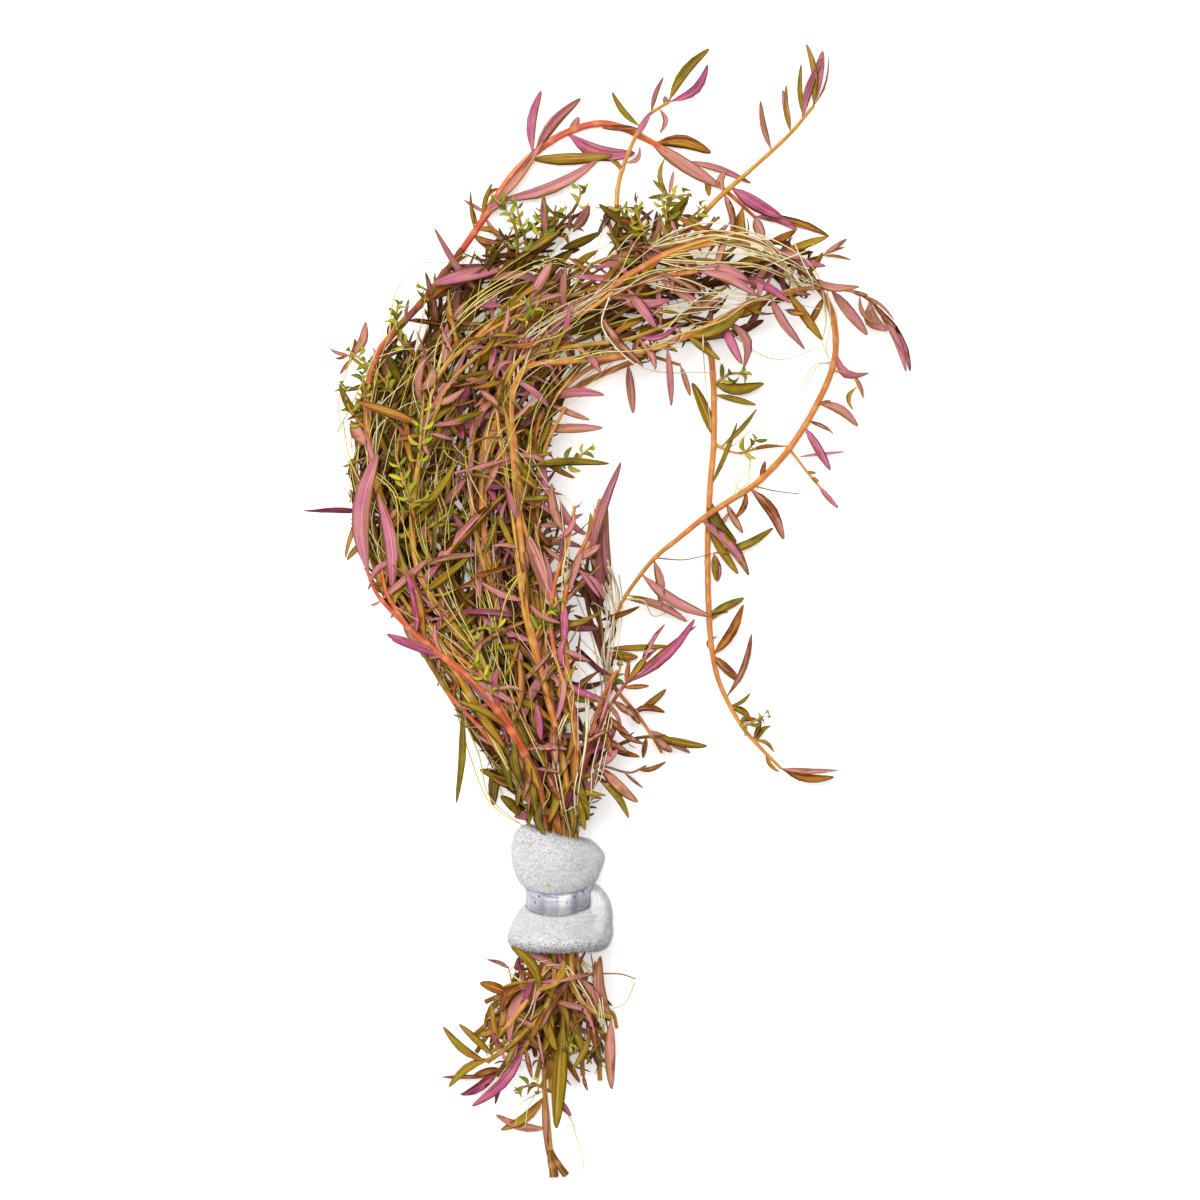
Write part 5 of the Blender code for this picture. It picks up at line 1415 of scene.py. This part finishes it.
def leaf_pairs(grown, strand, tints, longest):
    """Opposite pairs at the rings in the crowd, each pair turned a quarter from the one before."""
    for count, place in enumerate(strand.places):
        root = strand.point(place)
        if abs(root.y) < sponge_end + 3 or not in_crowd(root):
            continue
        along = strand.direction(place)
        if root.y < 0:
            along = (along * -0.5 + Vector((0, -0.6, 0))).normalized()
        is_tousled = dice.random() < tousled_share
        level = level_side(along)
        up = along.cross(level)
        turn = (count % 2) * math.pi / 2 + tilted(0.5)
        for side in (1, -1):
            out = (level * math.cos(turn) + up * math.sin(turn) * 0.5) * side
            spread = math.radians(dice.uniform(60, 165) if is_tousled else dice.uniform(12, 60))
            way = (along * math.cos(spread) + out * math.sin(spread)).normalized()
            reach = dice.uniform(shortest_leaf, longest)
            while reach > 3 and not in_crowd(root + way * reach):
                reach *= 0.75
            tip = root + way * reach
            tip.z = held(tip.z, 0.8, min(root.z + 1.5, 20.5))
            width = 0.4 + reach * dice.uniform(0.07, 0.15)
            tint = dice.choice(tints) + tilted(0.06)
            # The painted shade that the leaf gets deep in the crowd.
            depth = painted_crowd_shade((root + tip) / 2)
            grown.add(root, tip, width, tint, dice.randrange(len(BLADES)), tilted(1.4), depth)


for name, stem in stems.items():
    grown = stem_blades[name]
    leaf_pairs(grown, stem, stem.leaf_tints, 17)
    for shoot in stem.shoots:
        leaf_pairs(grown, shoot, stem.leaf_tints, 13)
    leaf_points = grown.mesh(name + "_leaves")
    leaves = leaf_growth.grow(name + "_leaves", leaf_points, {"Lowest": 0.0002, "Coat": leaf_skin.material})
    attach(leaves, "root")
    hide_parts(name)

# The green sprouts
# Bright yellow-green side shoots, as thin as thread, that have just budded from the older stems
# on the left and at the top. Each bears pairs of tiny leaves.
sprout_skin = blade_finish(
    "sprout_skin",
    [(0.0, (0.10, 0.17, 0.006)), (0.5, (0.30, 0.36, 0.008)), (1.0, (0.62, 0.58, 0.03))],
    [(0.0, (0.16, 0.20, 0.01)), (1.0, (0.60, 0.50, 0.05))],
    [(0.0, (0.10, 0.14, 0.01)), (1.0, (0.40, 0.40, 0.02))])

# Each sprout: where it leaves its stem and where its tip is, in the 1200-wide view.
SPROUTS = [
    ((398, 420), (402, 335)), ((412, 470), (424, 395)), ((385, 395), (350, 352)),
    ((425, 505), (395, 452)), ((372, 430), (344, 385)), ((402, 520), (432, 500)),
    ((452, 560), (470, 515)), ((408, 345), (398, 300)), ((440, 300), (418, 285)),
    ((505, 240), (492, 195)), ((520, 235), (515, 200)), ((588, 222), (580, 188)),
    ((562, 228), (556, 205)), ((650, 220), (661, 196)), ((640, 228), (634, 205)),
    ((668, 215), (690, 195)), ((685, 225), (706, 205)), ((470, 645), (498, 628)),
    ((495, 700), (470, 660)), ((600, 700), (622, 660)), ((545, 745), (566, 720)),
    ((740, 453), (757, 437)), ((730, 384), (746, 376)), ((560, 470), (590, 448)),
    ((500, 560), (520, 520)), ((535, 640), (560, 600)), ((745, 722), (764, 716)),
    ((460, 400), (436, 360)), ((520, 330), (540, 300)), ((546, 1092), (514, 1091)),
    ((580, 1050), (566, 1040)), ((366, 400), (362, 372)),
    ((380, 440), (366, 410)), ((392, 470), (378, 440)), ((540, 240), (536, 208)),
    ((610, 225), (620, 205)), ((480, 620), (450, 600)), ((430, 530), (450, 512)),
]

sprout_tubes = []
sprout_blades = Blades()
for base, tip in SPROUTS:
    root = nearest_stem(*seen_at(*base).xy)[1]
    end = seen_at(*tip, min(root.z + dice.uniform(1, 5), 20))
    bow = Vector((tilted(2), tilted(2), 1.5))
    line = Strand(smooth_line([root, root.lerp(end, 0.35) + bow, root.lerp(end, 0.7) + bow * 0.7, end]))
    line.places = every(1.9, 2.2, line.total - 0.3)
    thick, ring = ringed(line, taper(line, 0.42, 0.22))
    sprout_tubes.append((line.line, thick, ring, [0.3] * len(thick)))
    for count, place in enumerate(line.places):
        spot = line.point(place)
        along = line.direction(place)
        level = level_side(along)
        up = along.cross(level)
        turn = (count % 2) * 1.2 + tilted(0.3)
        for side in (1, -1):
            out = (level * math.cos(turn) + up * math.sin(turn)) * side
            reach = dice.uniform(2.4, 4.6) * (1 - 0.35 * place / line.total)
            leaf_tip = spot + (along * 0.75 + out).normalized() * reach
            sprout_blades.add(spot, leaf_tip, reach * 0.34, dice.random(), dice.randrange(5), tilted(0.5))
sprout_lines = strands_mesh("sprout_stalks", sprout_tubes)
sprouts = tube_growth.grow(
    "sprout_stalks", sprout_lines, {"Lowest": 0.0, "Sides": 5, "Coat": stalk.material})
sprout_leaves = leaf_growth.grow(
    "sprout_leaves", sprout_blades.mesh("sprout_leaves"), {"Lowest": 0.0002, "Coat": sprout_skin.material})
for piece in (sprouts, sprout_leaves):
    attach(piece, "root")

for shape in list(blades.objects):
    bpy.data.objects.remove(shape)
bpy.data.collections.remove(blades)

# The hair roots
# Fine cream and yellow-green roots, as thick as sewing thread, that grew from the rings. They
# run over and between the stems in loose bundles, and a few stray past the outline.
root_skin = Finish("root_skin")
root_tint, root_along = (root_skin.carried(name) for name in ("tint", "along"))
root_patch = root_skin.noise(root_skin.vector(root_along * 0.12, root_tint * 50, 0.0), 1.0, 2.0)
root_skin.give("Base Color", root_skin.ramp(root_tint + (root_patch - 0.5) * 0.3, [
    (0.0, (0.88, 0.79, 0.60)), (0.25, (0.80, 0.67, 0.31)), (0.5, (0.74, 0.66, 0.13)),
    (0.75, (0.54, 0.50, 0.04)), (1.0, (0.42, 0.20, 0.03))]))
root_skin.bump(root_patch, 0.2, 0.0002)

# Listed roots: the places they pass in the view, how many run side by side, and their tint.
ROOTS = [
    ([(441, 341), (470, 308), (500, 284), (555, 256), (578, 261)], 3, 0.45),
    ([(430, 385), (445, 330), (500, 290), (560, 262)], 3, 0.4),
    ([(381, 330), (395, 298), (422, 275), (445, 259)], 1, 0.3),
    ([(510, 362), (528, 337), (549, 323), (601, 291)], 5, 0.15),
    ([(515, 380), (522, 350), (560, 315), (620, 285)], 3, 0.1),
    ([(346, 362), (335, 395), (340, 430), (348, 450)], 1, 0.5),
    ([(340, 430), (352, 400), (380, 350), (400, 300)], 1, 0.5),
    ([(452, 425), (456, 450), (480, 465), (515, 476), (548, 505)], 2, 0.65),
    ([(470, 425), (465, 470), (478, 510), (495, 520)], 2, 0.3),
    ([(445, 440), (432, 480), (440, 510), (455, 560)], 2, 0.4),
    ([(468, 430), (520, 450), (545, 480), (560, 500)], 2, 0.15),
    ([(460, 560), (485, 600), (492, 640), (488, 690)], 4, 0.55),
    ([(520, 565), (500, 600), (496, 650), (505, 700)], 3, 0.6),
    ([(425, 560), (445, 610), (475, 650), (500, 700)], 3, 0.45),
    ([(370, 470), (395, 500), (402, 560), (420, 610)], 2, 0.5),
    ([(345, 420), (352, 460), (372, 500), (390, 520)], 1, 0.55),
    ([(640, 255), (680, 238), (720, 234), (770, 250), (800, 290)], 7, 0.2),
    ([(655, 262), (700, 258), (760, 262), (815, 285)], 5, 0.22),
    ([(700, 240), (750, 240), (800, 262), (820, 290)], 4, 0.25),
    ([(640, 290), (690, 292), (740, 300), (770, 296)], 3, 0.15),
    ([(640, 310), (670, 312), (705, 308), (740, 292)], 4, 0.15),
    ([(650, 335), (700, 302), (760, 300), (830, 312)], 1, 0.0),
    ([(756, 272), (780, 262), (806, 256), (812, 240)], 1, 0.0),
    ([(791, 230), (803, 253), (812, 272), (816, 286)], 1, 0.0),
    ([(823, 293), (826, 320), (822, 345), (822, 362)], 2, 0.1),
    ([(832, 363), (818, 366), (808, 378), (794, 406)], 2, 0.2),
    ([(615, 300), (600, 330), (640, 370), (700, 372)], 1, 0.05),
    ([(730, 336), (760, 350), (791, 352), (832, 344)], 1, 0.45),
    ([(705, 318), (700, 345), (706, 380), (708, 430)], 1, 0.1),
    ([(600, 560), (610, 610, 5), (606, 650, 6), (598, 690)], 6, 0.08),
    ([(612, 570), (618, 600, 4), (612, 640, 6), (600, 700)], 5, 0.05),
    ([(570, 700), (560, 750), (566, 800), (572, 830)], 3, 0.15),
    ([(590, 700), (588, 740), (580, 790), (584, 830)], 4, 0.1),
    ([(612, 700), (600, 760), (592, 800), (586, 834)], 3, 0.2),
    ([(470, 690), (490, 730), (515, 780), (530, 825)], 4, 0.5),
    ([(455, 700), (480, 760), (500, 800), (525, 830)], 3, 0.6),
    ([(505, 640), (512, 700), (520, 760), (545, 820)], 3, 0.45),
    ([(556, 818), (562, 802), (580, 796), (590, 812)], 1, 0.15),
    ([(705, 440), (735, 450), (760, 430), (780, 446)], 1, 0.1),
    ([(728, 486), (738, 478), (748, 470), (752, 462)], 3, 0.2),
    ([(620, 600), (640, 604), (655, 610), (680, 608)], 1, 0.3),
    ([(640, 976), (632, 992), (622, 1006), (604, 1012)], 1, 0.5),
    ([(553, 1092), (562, 1104, 3), (571, 1117, 2), (576, 1130, 1), (582, 1148, 1), (584, 1167, 1)], 1, 0.6),
    ([(500, 975), (520, 970), (545, 960), (560, 955)], 2, 0.35),
    ([(560, 955), (575, 980), (590, 1000), (598, 1020)], 3, 0.3),
    ([(565, 958), (552, 968), (556, 974), (566, 970)], 1, 0.3),
    ([(540, 970), (530, 1000), (515, 1030), (500, 1060)], 2, 0.4),
    ([(588, 955), (596, 980), (604, 1010), (600, 1030)], 4, 0.4),
    ([(490, 990), (500, 1010), (520, 1020), (545, 1015)], 1, 0.5),
    ([(530, 1094), (526, 1106), (522, 1120), (520, 1128)], 2, 0.62),
]


def nudge(spread):
    """A random shift, level with the board."""
    return Vector((dice.gauss(0, spread), dice.gauss(0, spread), 0))


root_sample_mm = 1.2
thinnest_root = 0.07


def root_line(passed, spread):
    """A loose root over the stems: it starts and ends inside the bunch and bows up between."""
    shift = nudge(spread)
    line = []
    for i, place in enumerate(passed):
        x, y, rest = seen_at(*place)
        spot = nearest_stem(x, y)[1]
        is_end = i in (0, len(passed) - 1)
        if not is_end or (spot.xy - Vector((x, y))).length >= 4:
            height = max(spot.z + 1.2, rest) + tilted(2)
            spot = Vector((x, y, held(height, 0.6, 20.4))) + shift * dice.uniform(0.6, 1.4)
        line.append(spot + nudge(0.5))
    return smooth_line(line, root_sample_mm)


hair_tubes = []


def add_root(line, thickness, tint):
    """Keeps a root, thinning towards its tip, for the one mesh of all of them."""
    thick = [max(thickness * (1 - 0.6 * i / len(line)), thinnest_root) for i in range(len(line))]
    hair_tubes.append((line, thick, [0.0] * len(line), [tint] * len(line)))


for passed, strands, tint in ROOTS:
    for strand_count in range(strands):
        add_root(root_line(passed, 0.9), dice.uniform(0.14, 0.21), tint + dice.uniform(-0.1, 0.15))

# More roots, each from some point of a stem, that wander along with the stems.
wandering_roots_tried = 700
for attempt in range(wandering_roots_tried):
    stem = stems[dice.choice(sorted(stems))]
    start = dice.uniform(0.1, 0.85) * stem.total
    reach = dice.uniform(12, 48)
    is_sparse = 0 < stem.point(start).y < 62 and dice.random() < 0.7
    if abs(stem.point(start).y) < sponge_end + 2 or is_sparse or not in_crowd(stem.point(start)):
        continue
    drift = nudge(7)
    lift = dice.uniform(0, 7)
    spots = []
    for k in range(5):
        length = min(start + reach * k / 4, stem.total)
        bow = math.sin(k / 4 * math.pi)
        spot = stem.point(length) + drift * (k / 4) ** 1.3 + Vector((0, 0, lift * bow))
        spot.z = held(spot.z, 0.4, 20.5)
        spots.append(spot + nudge(0.8) * (k > 0))
    if all(abs(spot.y) > sponge_end + 2 for spot in spots) and in_crowd(spots[-1]):
        thickness = dice.uniform(0.11, 0.17)
        tint = dice.choice((0.1, 0.3, 0.4, 0.5, 0.6, 0.75))
        add_root(smooth_line(spots, root_sample_mm), thickness, tint)
hair_lines = strands_mesh("hair_roots", hair_tubes)
hair_roots = tube_growth.grow(
    "hair_roots", hair_lines, {"Lowest": 0.0, "Sides": 4, "Coat": root_skin.material})
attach(hair_roots, "root")
